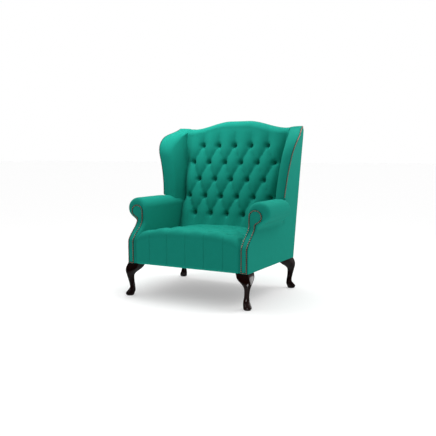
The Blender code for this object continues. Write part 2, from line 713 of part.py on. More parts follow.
def arm_rail(grow):
    low, high = ARM_RAIL_Z - grow, ARM_RAIL_Z + ARM_RAIL_DEEP + grow
    front_y = arm_front_y(ARM_RAIL_Z) + FACING + ARM_POST_SET - grow
    rear_y = outer_back_y(ARM_RAIL_Z) - BACK_FRAME - 2 * CLEARANCE
    rings = []
    for y in spread(front_y, rear_y, 5):
        shallow = SIDE_OUTER - grow
        deep = SIDE_INNER + grow
        rings.append([side_point(y, low, deep), side_point(y, low, shallow),
                      side_point(y, high, shallow), side_point(y, high, deep)])
    return loft(rings)


def outer_arm_panel():
    rings = []
    for z in facing_levels():
        near = arm_front_y(z) + FACING + CLEARANCE
        far = outer_back_y(z) - PANEL - CLEARANCE
        rings.append([side_point(near, z, 0.0), side_point(far, z, 0.0),
                      side_point(far, z, PANEL), side_point(near, z, PANEL)])
    return loft(rings)


# Wings

def wing_inset(distance):
    """The wing's edge moved inwards, as (y, z) points."""
    moved = []
    for i, here in enumerate(WING_EDGE):
        before = Vector(WING_EDGE[max(0, i - 1)])
        after = Vector(WING_EDGE[min(len(WING_EDGE) - 1, i + 1)])
        along = (after - before).normalized()
        moved.append((here[0] + along.y * distance, here[1] - along.x * distance))
    return moved


def line_y(line, z):
    """Where a rising line of (y, z) points passes a height, or far behind if it never does."""
    if z <= line[0][1]:
        return line[0][0]
    for (low_y, low_z), (high_y, high_z) in zip(line, line[1:]):
        if low_z <= z <= high_z:
            return mix(low_y, high_y, (z - low_z) / (high_z - low_z))
    return math.inf


def wing_pad():
    pad_outer = PANEL + SOFT_GAP
    pocket = SIDE_INNER + SOFT_GAP
    shares = (0.0, 0.012, 0.045, 0.10, 0.18, 0.32, 0.60, 1.0)
    ledge_z = POST_TOP_Z + SOFT_GAP
    levels = [(y, z, outer_back_y(z) - BACK_PAD_REAR) for y, z in WING_EDGE if z < ledge_z]
    over = [(y, z, outer_back_y(z) - PANEL - CLEARANCE) for y, z in WING_EDGE if z > ledge_z]
    low, high = levels[-1], over[0]
    ledge_y = mix(low[0], high[0], (ledge_z - low[1]) / (high[1] - low[1]))
    levels.append((ledge_y, ledge_z, outer_back_y(ledge_z) - BACK_PAD_REAR))
    levels.append((ledge_y, ledge_z + CLEARANCE, outer_back_y(ledge_z) - PANEL - CLEARANCE))
    frame_line = wing_inset(WING_EDGE_PAD)
    rings = []
    for edge_y, z, rear_y in levels + over:
        ring = []
        for share in shares:
            y = mix(edge_y, rear_y, share)
            roll = mix(WING_ROLL, WING_ROLL_REAR, smooth((y - EAR_TOP_Y) / (WING_TOP_Y - EAR_TOP_Y)))
            inside = min(1.0, wing_depth(y, z) / roll)
            depth = mix(pad_outer, SIDE_THICK, math.sqrt(1.0 - (1.0 - inside) ** 2))
            ring.append(side_point(y, z, max(depth, pad_outer)))
        step_y = line_y(frame_line, z)
        framed = step_y < rear_y - 2 * SOFT_GAP and z <= ledge_z
        step_y = step_y if framed else rear_y - 2 * SOFT_GAP
        deep = pocket if framed else pad_outer + CLEARANCE
        ring.append(side_point(rear_y, z, deep))
        ring.append(side_point(step_y, z, deep))
        ring.append(side_point(step_y, z, pad_outer))
        rings.append(ring)
    return loft(rings)


def outer_wing_panel():
    rings = []
    root_z = ROLL_UNDER_Z
    notch_y = ROLL_END_Y + SOFT_GAP
    levels = [(notch_y, z) for z in spread(root_z, WING_EDGE[0][1], 5)] + WING_EDGE
    for near, z in levels:
        far = outer_back_y(z) - PANEL - CLEARANCE
        ring = [side_point(mix(near, far, i / 3.0), z, 0.0) for i in range(4)]
        ring += [side_point(mix(near, far, i / 3.0), z, PANEL) for i in (3, 2, 1, 0)]
        rings.append(ring)
    return loft(rings)


def timber_ring(near, far):
    """Section of a wing timber between two (y, z) points, clear of the splayed covers on both sides."""
    deep, shallow = SIDE_INNER - SOFT_GAP, SIDE_OUTER + SOFT_GAP
    corners = ((near, deep), (near, shallow), (far, shallow), (far, deep))
    return [side_point(*place, depth) for place, depth in corners]


def wing_frame_line():
    return wing_inset(WING_EDGE_PAD + 3 * SOFT_GAP)


def wing_post_ring(z):
    near_y = line_y(wing_frame_line(), z)
    return timber_ring((near_y, z), (near_y + WING_POST_WIDE, z))


def wing_post():
    foot_z = ARM_RAIL_Z + ARM_RAIL_DEEP + CLEARANCE
    heights = [z for y, z in wing_frame_line() if z < EAR_LOW_Z - RAIL_THICK]
    return loft([wing_post_ring(z) for z in [foot_z] + heights + [EAR_LOW_Z - CLEARANCE]])


def wing_top_rail():
    """From the top of the wing post round the ear to the front of the back post."""
    near_line = wing_frame_line()
    far_line = wing_inset(WING_EDGE_PAD + 3 * SOFT_GAP + WING_RAIL_DEEP)

    def room(point):
        return outer_back_y(point[1]) - BACK_FRAME - CLEARANCE - point[0]

    rings = [wing_post_ring(EAR_LOW_Z)]
    for near, far, after in zip(near_line, far_line, near_line[1:]):
        if near[1] <= EAR_LOW_Z + WING_RAIL_DEEP or room(far) < 0.0:
            continue
        rings.append(timber_ring(near, far))
        if room(after) < 0.0:
            share = room(near) / (room(near) - room(after))
            end_z = mix(near[1], after[1], share)
            low_z = end_z - WING_RAIL_DEEP
            rings.append(timber_ring(*[(room((0.0, z)), z) for z in (end_z, low_z)]))
            break
    return loft(rings)


# Back frame and panel

def back_post():
    levels = [RAIL_TOP_Z + CLEARANCE] + spread(ROLL_UNDER_Z, ARM_TOP_Z, 5)
    levels += spread(ARM_TOP_Z, POST_TOP_Z, 7)[1:]
    rings = []
    for z in levels:
        near, far = outer_back_y(z) - BACK_FRAME, outer_back_y(z) - PANEL - CLEARANCE
        inner = post_inner_x(z)
        rings.append([(inner, near, z), side_point(near, z, SIDE_OUTER + CLEARANCE),
                      side_point(far, z, SIDE_OUTER + CLEARANCE), (inner, far, z)])
    return loft(rings)


def post_inner_x(z):
    return rear_half(z) - SIDE_OUTER - POST_WIDTH


def back_rail(top, half):
    """A rail of the back frame below a top that may follow x."""
    rings = []
    for x in spread(-half, half, 25):
        high, low = top(x), top(x) - RAIL_DEEP
        corners = ((low, BACK_FRAME), (high, BACK_FRAME), (high, PANEL + CLEARANCE), (low, PANEL + CLEARANCE))
        rings.append([(x, outer_back_y(z) - depth, z) for z, depth in corners])
    return loft(rings)


def back_strap(x):
    rings = []
    for z in (LOWER_RAIL_Z, crest_rail_top(CREST_DIP_X) - 0.5 * RAIL_DEEP):
        near = outer_back_y(z) - BACK_FRAME - CLEARANCE - STRAP_THICK
        far = near + STRAP_THICK
        left, right = x - 0.5 * STRAP_WIDE, x + 0.5 * STRAP_WIDE
        rings.append([(left, near, z), (right, near, z), (right, far, z), (left, far, z)])
    return loft(rings)


def outer_back_panel():
    half = rear_half(WING_TOP_Z)
    rings = []
    for x in spread(-1.0, 1.0, 37):
        top = crest_z(x * half) - 0.5 * CREST_PAD
        rings.append([(x * rear_half(z), outer_back_y(z) - depth, z)
                      for z, depth in ((BASE_Z, 0.0), (top, 0.0), (top, PANEL), (BASE_Z, PANEL))])
    return loft(rings)


# Seat frame

SIDE_RAIL_FRONT = FRONT_Y + FACING + CLEARANCE
FRONT_RAIL_Y = (FRONT_Y + SEAT_FRONT_PAD, FRONT_Y + SEAT_FRONT_PAD + RAIL_THICK)
REAR_RAIL_Y = (BACK_FOOT_Y - PANEL - CLEARANCE - RAIL_THICK, BACK_FOOT_Y - PANEL - CLEARANCE)


def rail_face(y, depth):
    return mix(FRONT_HALF, REAR_HALF, (y - FRONT_Y) / (BACK_FOOT_Y - FRONT_Y)) - depth


def side_rail():
    outer, inner = PANEL + 2 * CLEARANCE, PANEL + 2 * CLEARANCE + RAIL_THICK
    ends = (SIDE_RAIL_FRONT, REAR_RAIL_Y[1])
    outline = [(rail_face(ends[0], inner), ends[0]), (rail_face(ends[0], outer), ends[0]),
               (rail_face(ends[1], outer), ends[1]), (rail_face(ends[1], inner), ends[1])]
    return prism(outline, BASE_Z, RAIL_TOP_Z)


def cross_rail(y):
    inner = PANEL + 3 * CLEARANCE + RAIL_THICK
    near, far = rail_face(y[0], inner), rail_face(y[1], inner)
    return prism([(-near, y[0]), (near, y[0]), (far, y[1]), (-far, y[1])], BASE_Z, RAIL_TOP_Z)


def block_corner(front):
    """Inner corner of the rails, and the way into the seat, at the front or the rear of the right side."""
    y = FRONT_RAIL_Y[1] + CLEARANCE if front else REAR_RAIL_Y[0] - CLEARANCE
    away = 1.0 if front else -1.0
    x = min(rail_face(y, 0.0), rail_face(y + away * BLOCK_SIDE, 0.0)) - PANEL - 3 * CLEARANCE - RAIL_THICK
    return x, y, away


def leg_centre(front):
    if front:
        return FRONT_HALF - 0.5 * LEG_SIDE, FRONT_Y + 0.5 * LEG_SIDE
    return REAR_HALF - 0.5 * LEG_SIDE, BACK_FOOT_Y - 0.5 * LEG_SIDE


def bolt_centre(front):
    x, y, away = block_corner(front)
    return x - BOLT_SET, y + away * BOLT_SET


def corner_block(front):
    x, y, away = block_corner(front)
    return prism([(x, y), (x, y + away * BLOCK_SIDE), (x - BLOCK_SIDE, y)], BASE_Z, BASE_Z + BLOCK_HIGH)


def leg(front):
    centre = leg_centre(front)
    away = -1.0 if front else 1.0
    diagonal = Vector((1.0, away)).normalized()
    across = Vector((-away, 1.0)).normalized()
    top = BASE_Z - CLEARANCE
    rings = []
    for share, offset, length, width, roundness in LEG_STATIONS:
        ring = []
        for i in range(LEG_SIDES):
            turn = 2.0 * math.pi * i / LEG_SIDES
            c, s = math.cos(turn), math.sin(turn)
            out = LEG_SIDE * (offset + length * math.copysign(abs(c) ** (2.0 / roundness), c))
            aside = LEG_SIDE * width * math.copysign(abs(s) ** (2.0 / roundness), s)
            ring.append((centre[0] + diagonal.x * out + across.x * aside,
                         centre[1] + diagonal.y * out + across.y * aside, share * top))
        rings.append(ring)
    return loft(rings)


def leg_bolt(front):
    low = BASE_Z - BOLT_IN_LEG
    nut = BASE_Z + BLOCK_HIGH + CLEARANCE
    profile = ((low, BOLT_RADIUS), (nut, BOLT_RADIUS), (nut, NUT_RADIUS), (nut + NUT_HIGH, NUT_RADIUS),
               (nut + NUT_HIGH, BOLT_RADIUS), (nut + NUT_HIGH + BOLT_RADIUS, BOLT_RADIUS))
    return turned(bolt_centre(front), profile, 12)


def bolt_hole(front):
    low, high = BASE_Z - BOLT_IN_LEG - CLEARANCE, BASE_Z + BLOCK_HIGH + NUT_HIGH
    radius = BOLT_RADIUS + CLEARANCE
    return turned(bolt_centre(front), ((low, radius), (high, radius)), 12)


def dust_cover():
    outer = PANEL + 2 * CLEARANCE
    leg_room = LEG_SIDE + LEG_ROOM
    front, rear = FRONT_RAIL_Y[0], REAR_RAIL_Y[1]
    right = [(rail_face(front, outer) - leg_room, front),
             (rail_face(front, outer) - leg_room, front + leg_room),
             (rail_face(front + leg_room, outer), front + leg_room),
             (rail_face(rear - leg_room, outer), rear - leg_room),
             (rail_face(rear, outer) - leg_room, rear - leg_room),
             (rail_face(rear, outer) - leg_room, rear)]
    outline = right + [(-x, y) for x, y in reversed(right)]
    return prism(outline, BASE_Z - CLEARANCE - DUST_COVER, BASE_Z - CLEARANCE)


def spring_points(x):
    z = RAIL_TOP_Z + SPRING_WIRE + CLEARANCE
    near, far = FRONT_RAIL_Y[0] + SPRING_WIRE, REAR_RAIL_Y[1] - 2 * SPRING_WIRE
    points = [(x, near, z)]
    count = 4 * SPRING_WAVES
    for i in range(1, count):
        wave = math.sin(0.5 * math.pi * i)
        lead = 0.3 * math.cos(0.5 * math.pi * i)
        points.append((x + SPRING_WAVE * wave, mix(near, far, (i + lead) / count), z))
    return points + [(x, far, z)]


def platform():
    half = arm_inner(PLATFORM_Z) - SOFT_GAP
    low, high = FRONT_RAIL_Y[0], REAR_RAIL_Y[1] - CLEARANCE
    return box((-half, half), (low, high), (PLATFORM_Z, PLATFORM_Z + PLATFORM))


# Nail trim

def facing_nails():
    loop_x = FACING_INNER_X + LOOP_RADIUS
    radius = LOOP_RADIUS - NAIL_INSET
    straight = facing_levels()
    straight[0] += NAIL_INSET
    inner = [(FACING_INNER_X + NAIL_INSET, z) for z in straight]
    outer = [(side_x(arm_front_y(z), z) - NAIL_INSET, z) for z in straight]
    head = []
    for degrees in range(-60, 241, 25):
        turn = math.radians(degrees)
        head.append((loop_x + radius * math.cos(turn), LOOP_Z + radius * math.sin(turn)))
    head = [point for point in head if point[0] > loop_x or point[1] > LOOP_Z]
    return outer + head + inner[::-1]


def add_facing_nails(name, side):
    lift = NAIL_RADIUS + SOFT_GAP
    points = []
    for x, z in facing_nails():
        ahead = 0.5 * (arm_front_y(z + NAIL_RADIUS) - arm_front_y(z - NAIL_RADIUS)) / NAIL_RADIUS
        points.append((side * x, arm_front_y(z) - lift * math.hypot(1.0, ahead), z))
    add_wire(name, points, NAIL_RADIUS, "bronze_nail", closed=True)


def add_wing_nails(name, side):
    line = wing_inset(NAIL_INSET)
    start_z = ARM_TOP_Z + NAIL_RADIUS + SOFT_GAP
    points = []
    for y, z in [(line_y(line, start_z), start_z)] + line[1:]:
        x, y, z = side_point(y, z, -(NAIL_RADIUS + SOFT_GAP))
        points.append((side * x, y, z))
    add_wire(name, points, NAIL_RADIUS, "bronze_nail")


# The chair

add_mesh("front_seat_rail", cross_rail(FRONT_RAIL_Y), "beech")
add_mesh("rear_seat_rail", cross_rail(REAR_RAIL_Y), "beech")
add_mesh("inside_back", back_pad(), "green_wool", sharp_degrees=60)
add_mesh("seat", seat_pad(), "green_wool", sharp_degrees=60)
add_mesh("seat_platform", platform(), "felt")
add_mesh("dust_cover", dust_cover(), "black_cambric")
add_mesh("outer_back_panel", outer_back_panel(), "green_wool")
lower_half = post_inner_x(LOWER_RAIL_Z) - CLEARANCE
add_mesh("lower_back_rail", back_rail(lambda x: LOWER_RAIL_Z + RAIL_DEEP, lower_half), "beech")
crest_half = post_inner_x(POST_TOP_Z - RAIL_DEEP) - CLEARANCE
add_mesh("crest_rail", back_rail(crest_rail_top, crest_half), "beech")
for index in range(STRAPS):
    x = STRAP_PITCH * (index - 0.5 * (STRAPS - 1))
    add_mesh(f"back_strap_{index + 1}", back_strap(x), "hessian")
for index in range(SPRINGS):
    x = SPRING_PITCH * (index - 0.5 * (SPRINGS - 1))
    add_wire(f"seat_spring_{index + 1}", spring_points(x), SPRING_WIRE, "steel", bevel_resolution=0)

for word, side in SIDES:
    add_mesh(f"{word}_seat_rail", side_rail(), "beech", side)
    add_mesh(f"{word}_back_post", back_post(), "beech", side)
    add_mesh(f"{word}_arm_post", arm_post(0.0, SIDE_OUTER), "beech", side)
    add_mesh(f"{word}_arm_rail", arm_rail(0.0), "beech", side)
    add_mesh(f"{word}_wing_post", wing_post(), "beech", side)
    add_mesh(f"{word}_wing_top_rail", wing_top_rail(), "beech", side)
    inside_arm = add_mesh(f"{word}_inside_arm", arm_pad(), "green_wool", side, sharp_degrees=60)
    add_cutter(f"{word}_arm_post_pocket", arm_post(2 * CLEARANCE, 0.0), side, inside_arm)
    add_cutter(f"{word}_arm_rail_pocket", arm_rail(2 * CLEARANCE), side, inside_arm)
    add_mesh(f"{word}_arm_facing", arm_facing(), "green_wool", side)
    add_mesh(f"{word}_outer_arm_panel", outer_arm_panel(), "green_wool", side)
    add_mesh(f"{word}_inside_wing", wing_pad(), "green_wool", side, sharp_degrees=60)
    add_mesh(f"{word}_outer_wing_panel", outer_wing_panel(), "green_wool", side)
    add_facing_nails(f"{word}_arm_nail_trim", side)
    add_wing_nails(f"{word}_wing_nail_trim", side)
    for place, front in (("front", True), ("rear", False)):
        block = add_mesh(f"{place}_{word}_corner_block", corner_block(front), "beech", side)
        add_cutter(f"{place}_{word}_block_bolt_hole", bolt_hole(front), side, block)
        foot = add_mesh(f"{place}_{word}_leg", leg(front), "polished_mahogany", side, sharp_degrees=60)
        add_cutter(f"{place}_{word}_leg_bolt_hole", bolt_hole(front), side, foot)
        add_mesh(f"{place}_{word}_leg_bolt", leg_bolt(front), "steel", side)
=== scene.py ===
from math import copysign, cos, exp, floor, hypot, pi, radians, sin, sqrt

import bmesh
import bpy
from mathutils import Matrix, Vector
from mathutils.geometry import interpolate_bezier


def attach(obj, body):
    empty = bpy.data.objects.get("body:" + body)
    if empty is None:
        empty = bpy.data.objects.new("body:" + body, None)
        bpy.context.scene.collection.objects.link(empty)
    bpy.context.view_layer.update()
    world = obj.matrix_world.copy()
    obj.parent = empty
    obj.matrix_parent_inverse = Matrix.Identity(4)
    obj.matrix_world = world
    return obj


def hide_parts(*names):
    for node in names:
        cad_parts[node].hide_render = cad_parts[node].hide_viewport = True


# A buttoned wing chair, a chair and a half wide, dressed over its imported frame.
# Metres, in the part's own frame: it faces -Y, Z is up, and right, seen from the front, is +X.

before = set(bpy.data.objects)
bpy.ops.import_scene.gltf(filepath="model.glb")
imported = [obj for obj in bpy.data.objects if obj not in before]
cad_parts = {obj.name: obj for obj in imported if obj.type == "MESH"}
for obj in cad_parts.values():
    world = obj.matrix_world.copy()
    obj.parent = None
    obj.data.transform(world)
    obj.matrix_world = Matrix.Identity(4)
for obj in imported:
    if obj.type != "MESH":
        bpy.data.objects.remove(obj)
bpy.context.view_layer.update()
scene = bpy.context.scene
print("frame loaded:", len(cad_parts), "solids")

# the faces that all the covers share
chair = {
    "baseZ": 0.215,        # underside of the upholstery
    "frontY": -0.3947,
    "backFootY": 0.3223,   # outer back at the base
    "backLean": 0.100,
    "frontHalf": 0.430,
    "rearHalf": 0.448,
    "sideSplay": 0.032,
    "sideThick": 0.0775,
    "panel": 0.006,
    "pocket": 0.030,       # from the outer side to the padding beside the timber
    "gap": 0.0006,         # between two covers
    "padFloorZ": 0.336,    # what rests on the seat platform
    "cornerRound": 0.013,  # of the outside cover, at the rear
}
weld = 0.00002             # points closer than this are one
slopeStep = 0.002          # slopes are measured over this, both ways
outermost = 5              # the last buttons of a row, in half pitches from the middle


def mix(a, b, t):
    return a + (b - a) * t


def smooth(t):
    t = min(1.0, max(0.0, t))
    return t * t * (3.0 - 2.0 * t)


def spread(low, high, count):
    return [mix(low, high, i / (count - 1)) for i in range(count)]


def crowd(low, high, steps):
    # numbers from low to high that crowd towards the whole ones
    pull = 0.11
    return [t - pull * sin(2.0 * pi * t) for t in spread(low, high, (high - low) * steps + 1)]


def outerBackY(z):
    return chair["backFootY"] + chair["backLean"] * (z - chair["baseZ"])


def rearHalf(z):
    return chair["rearHalf"] + chair["sideSplay"] * (z - chair["baseZ"])


def innerHalf(z):
    return rearHalf(z) - chair["sideThick"]


# rolled arms
arm = {
    "sweepLowZ": 0.352, "sweepHighZ": 0.492, "sweepBack": 0.107,
    "rollZ": 0.564, "rollRadius": 0.0685, "rollEndY": 0.113, "bulge": 0.008,
    "frontRound": 0.036, "rearRound": 0.050,
    "rearTopZ": 0.6280,    # behind the roll, where the wing stands on it
    "fallLength": 0.085,   # the roll's top comes down to that over this length
    "pad": 0.013,          # how much further in the arm is than the wing
    "endReach": 0.013,     # half width that is left of the roll at its rear end
    "endGap": 0.0005,
    "underDegrees": -50,   # where the roll's underside leaves its circle for the side panel
    "seamZ": 0.452,        # where the roll's cover is sewn to the outside cover
    "rollPull": (0.012, 0.030), "seamPull": (0.004, 0.030),   # of the curve between, at the facing and behind
    "seamStep": 0.004,     # the pocket for the timber begins this far below the seam
    "floorGap": 0.001,
}
rollUnderZ = arm["rollZ"] - arm["rollRadius"]


def armInner(z):
    # upright below the middle of the roll, bent back to the wing's face above it
    radius = arm["rollRadius"]
    lift = min(radius, max(0.0, z - arm["rollZ"]))
    return innerHalf(z) - max(0.0, arm["pad"] - radius + sqrt(radius ** 2 - lift ** 2))


rollX = armInner(arm["rollZ"]) + arm["rollRadius"]

# splayed wings
wing = {
    "footY": 0.0933, "footGap": 0.001, "frontY": 0.111, "earLowZ": 0.900, "earTopY": 0.192, "earTopZ": 1.036,
    "topY": 0.366, "topZ": 1.109,
    # how far its upright, ear and ogee curves run on at either end, as shares of their spans in y and z
    "pulls": (((0.688983, 0.35), (0.0, 0.363)), ((0.0, 0.5), (0.519, 0.206)),
              ((0.282, 0.466), (0.282, 0.411))),
    "flareStartZ": 0.580, "earFlare": 0.230,
    "topTurn": 0.5, "turnHigh": 0.07,   # above the ear the flare loses this share
    "roll": 0.045, "rollRear": 0.014, "edgePad": 0.027, "cornerDrop": 0.024,
    "rearPad": 0.015, "padStart": 0.02, "padLength": 0.13, "padHigh": 0.03,   # fuller where it meets the back
    "pocketEdge": 0.006, "closeDrop": 0.075, "closeHigh": 0.02,   # the timber's pocket ends below the top
    "footHigh": 0.06,      # above this the foot no longer follows the arm's roll
    "nailEnd": 0.006, "nailOut": 0.0022, "nailSink": 0.0008, "nailTurn": 0.8,
}


def wingFlare(y, z):
    rise = max(0.0, z - wing["flareStartZ"]) / (wing["earTopZ"] - wing["flareStartZ"])
    turnIn = wing["topTurn"] * smooth((z - wing["earTopZ"]) / wing["turnHigh"])
    return wing["earFlare"] * rise ** 2 * (1.0 - turnIn) * (outerBackY(z) - y)


def sideX(y, z):
    along = (y - chair["frontY"]) / (outerBackY(z) - chair["frontY"])
    onArm = mix(chair["frontHalf"], rearHalf(z), along)
    onWing = rearHalf(z) + wingFlare(y, z)
    return mix(onArm, onWing, smooth((z - rollUnderZ) / (arm["rearTopZ"] - rollUnderZ)))


def armFrontY(z):
    rise = (z - arm["sweepLowZ"]) / (arm["sweepHighZ"] - arm["sweepLowZ"])
    return chair["frontY"] + arm["sweepBack"] * smooth(rise)


def sideNormal(y, z):
    slopeY = (sideX(y + slopeStep, z) - sideX(y - slopeStep, z)) / (2.0 * slopeStep)
    slopeZ = (sideX(y, z + slopeStep) - sideX(y, z - slopeStep)) / (2.0 * slopeStep)
    return Vector((1.0, -slopeY, -slopeZ)).normalized()


# small tools for shapes

def gridFrom(rows, rearRows=None, rearStep=1):
    # a grid moved to rows of points; with rear rows, which may be coarser, it is extruded to a closed pad
    bm = bmesh.new()
    across, along = len(rows[0]) - 1, len(rows) - 1
    bmesh.ops.create_grid(bm, x_segments=across, y_segments=along, size=1.0)
    behind = set()
    if rearRows:
        made = bmesh.ops.extrude_face_region(bm, geom=bm.faces[:], use_keep_orig=True)
        behind = {item for item in made["geom"] if isinstance(item, bmesh.types.BMVert)}
    for vert in bm.verts:
        i, j = round((vert.co.y + 1.0) * 0.5 * along), round((vert.co.x + 1.0) * 0.5 * across)
        if vert in behind:
            i = along if i + rearStep > along else i - i % rearStep
            j = across if j + rearStep > across else j - j % rearStep
        vert.co = rearRows[i][j] if vert in behind else rows[i][j]
    return bm


def closeEnds(bm):
    bmesh.ops.remove_doubles(bm, verts=bm.verts[:], dist=weld)
    rims = [edge for edge in bm.edges if edge.is_boundary]
    return bmesh.ops.holes_fill(bm, edges=rims, sides=0)["faces"]


def addDome(bm, place, normal, radius, high, segments):
    size = Matrix.Diagonal((1.0, 1.0, high / radius, 1.0))
    stand = Matrix.Translation(place) @ normal.to_track_quat("Z", "Y").to_matrix().to_4x4() @ size
    return bmesh.ops.create_uvsphere(bm, u_segments=segments[0], v_segments=segments[1], radius=radius,
                                     matrix=stand)["verts"]


def addObject(name, data):
    made = bpy.data.objects.new(name, data)
    scene.collection.objects.link(made)
    return made


def addPiece(name, bm, material, replaced=(), side=1, sharpDegrees=50):
    if side < 0:
        bmesh.ops.scale(bm, vec=(-1.0, 1.0, 1.0), verts=bm.verts[:])
    bmesh.ops.remove_doubles(bm, verts=bm.verts[:], dist=weld)
    bmesh.ops.recalc_face_normals(bm, faces=bm.faces[:])
    mesh = bpy.data.meshes.new(name)
    bm.to_mesh(mesh)
    bm.free()
    mesh.shade_smooth()
    mesh.set_sharp_from_angle(angle=radians(sharpDegrees))
    mesh.materials.append(material)
    piece = addObject(name, mesh)
    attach(piece, "root")
    if replaced:
        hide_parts(*replaced)
    return piece


def swell(piece, holdAt, look, frames=20):
    # a short cloth run lets the cover swell between the points that hold it, none further than the cap
    held = piece.vertex_groups.new(name="held")
    for vert in piece.data.vertices:
        held.add([vert.index], holdAt(vert.co), "REPLACE")
    cloth = piece.modifiers.new("cloth", "CLOTH")
    cloth.settings.vertex_group_mass = "held"
    cloth.settings.use_pressure = True
    cloth.settings.uniform_pressure_force = look["pressure"]
    cloth.settings.effector_weights.gravity = 0.0
    for step in range(1, frames + 1):
        scene.frame_set(step)
    settled = piece.evaluated_get(bpy.context.evaluated_depsgraph_get()).to_mesh()
    moves = [after.co - before.co for before, after in zip(piece.data.vertices, settled.vertices)]
    piece.modifiers.remove(cloth)
    piece.vertex_groups.remove(held)
    scene.frame_set(1)
    for vert, move in zip(piece.data.vertices, moves):
        vert.co += move * min(1.0, look["swellCap"] / max(move.length, 1e-9))
    furthest = 1000.0 * max(move.length for move in moves)
    print(piece.name, "swelled by up to", round(furthest, 1), "mm before the cap")


# materials

def linear(hexColour):
    shares = [int(hexColour[i:i + 2], 16) / 255.0 for i in (1, 3, 5)]
    return [s / 12.92 if s <= 0.04045 else ((s + 0.055) / 1.055) ** 2.4 for s in shares] + [1.0]


def socketOf(source):
    # a node stands for its first output
    return source.outputs[0] if hasattr(source, "outputs") else source


def addNode(owner, kind, settings=None, links=None):
    node = owner.node_tree.nodes.new("ShaderNode" + kind)
    for key, value in (settings or {}).items():
        if key == "stops":   # positions and colours of a ramp
            elements = node.color_ramp.elements
            for i, (position, colour) in enumerate(value):
                inner = 0 < i < len(value) - 1
                element = elements.new(position) if inner else elements[-1 if i else 0]
                element.position, element.color = position, linear(colour)
        elif isinstance(key, str) and hasattr(node, key):
            setattr(node, key, value)
        else:
            node.inputs[key].default_value = value
    for key, source in (links or {}).items():
        owner.node_tree.links.new(socketOf(source), node.inputs[key])
    return node


def startMaterial(name, settings):
    material = bpy.data.materials.new(name)
    material.use_nodes = True
    shader = material.node_tree.nodes["Principled BSDF"]
    for key, value in settings.items():
        shader.inputs[key].default_value = value
    place = addNode(material, "TexCoord").outputs["Object"]
    return material, shader, place


def joinTo(material, shader, **sources):
    names = {"colour": "Base Color", "roughness": "Roughness", "normal": "Normal"}
    for key, source in sources.items():
        material.node_tree.links.new(socketOf(source), shader.inputs[names[key]])


def makeWool():
    # brushed wool cloth: a short milled nap, matt, with a pale bloom at grazing angles and a slight mottle
    look = {
        "deep": "#158272", "mid": "#178b7a", "pale": "#1a9482", "napMm": 2.6, "brushMm": 45.0,
        "threadMm": 1.1,   # real threads are half as wide, which would not show
    }
    material, shader, place = startMaterial("brushed_wool_cloth", {
        "Roughness": 0.92, "Specular IOR Level": 0.05, "Sheen Weight": 0.04, "Sheen Roughness": 0.40,
        "Sheen Tint": linear("#7fdcc6")})
    nap = addNode(material, "TexNoise",
                  {"Scale": 1000.0 / look["napMm"], "Detail": 3.0, "Roughness": 0.6}, {"Vector": place})
    brush = addNode(material, "TexNoise", {"Scale": 1000.0 / look["brushMm"], "Detail": 2.0}, {"Vector": place})
    faint = addNode(material, "MapRange", {"To Min": 0.40, "To Max": 0.60}, {"Value": brush})
    both = addNode(material, "Math", {"operation": "ADD"}, {0: nap, 1: faint})
    half = addNode(material, "Math", {"operation": "MULTIPLY", 1: 0.5}, {0: both})
    tone = addNode(material, "ValToRGB",
                   {"stops": ((0.34, look["deep"]), (0.5, look["mid"]), (0.66, look["pale"]))},
                   {"Fac": half})
    thread = addNode(material, "TexVoronoi", {"Scale": 1000.0 / look["threadMm"]}, {"Vector": place})
    relief = addNode(material, "Math", {"operation": "ADD"}, {0: nap, 1: thread})
    bump = addNode(material, "Bump", {"Strength": 0.22, "Distance": 0.0007}, {"Height": relief})
    joinTo(material, shader, colour=tone, normal=bump)
    return material


def makeBronze():
    # antique bronze nail heads: painted shade, almost black, round the rim; a pink copper top, part rubbed,
    # part painted highlight
    look = {"black": "#1c0d0a", "brown": "#6e4032", "copper": "#e3ab9c", "patinaMm": 2.2}
    material, shader, place = startMaterial("antique_bronze", {"Metallic": 0.7, "Roughness": 0.40})
    scale = 1000.0 / look["patinaMm"]
    patina = addNode(material, "TexNoise", {"Scale": scale, "Detail": 3.0}, {"Vector": place})
    dome = addNode(material, "Attribute", {"attribute_name": "dome"})
    # height on the dome paints shade at the rim and a highlight on top; the patina noise adds wear
    shadeAndWear = addNode(material, "Math", {"operation": "MULTIPLY_ADD", 1: 0.3}, {0: patina, 2: dome.outputs["Fac"]})
    tone = addNode(material, "ValToRGB",
                   {"stops": ((0.72, look["black"]), (0.86, look["brown"]), (0.95, look["copper"]))},
                   {"Fac": shadeAndWear})
    rough = addNode(material, "MapRange", {"To Min": 0.32, "To Max": 0.52}, {"Value": patina})
    joinTo(material, shader, colour=tone, roughness=rough)
    return material


def makeGrained(name, settings, look):
    # a grain from a dark to a pale tone, which may change the roughness too
    material, shader, place = startMaterial(name, settings)
    scale = [1000.0 / mm for mm in look["grainMm"]]
    stretch = addNode(material, "Mapping", {"Scale": scale}, {"Vector": place})
    grain = addNode(material, "TexNoise", {"Scale": 1.0, **look["grain"]}, {"Vector": stretch})
    tone = addNode(material, "ValToRGB", {"stops": look["stops"]}, {"Fac": grain})
    joinTo(material, shader, colour=tone)
    if "rough" in look:
        joinTo(material, shader, roughness=addNode(material, "MapRange", look["rough"], {"Value": grain}))
    return material


def makeWoven(name, settings, look):
    # plain woven cloth: warp and weft threads as two sets of bands, dark in the gaps
    material, shader, place = startMaterial(name, settings)
    scale = 1000.0 / (2.0 * pi * look["threadMm"])
    bands = [addNode(material, "TexWave", {"bands_direction": way, "Scale": scale, "Distortion": 0.4},
                     {"Vector": place}).outputs["Fac"] for way in look["ways"]]
    cloth = addNode(material, "Math", {"operation": "MULTIPLY"}, {0: bands[0], 1: bands[1]})
    tone = addNode(material, "ValToRGB", {"stops": ((0.0, look["gap"]), (1.0, look["thread"]))},
                   {"Fac": cloth})
    bump = addNode(material, "Bump", {"Strength": 0.4, "Distance": 0.0004}, {"Height": cloth})
    joinTo(material, shader, colour=tone, normal=bump)
    return material


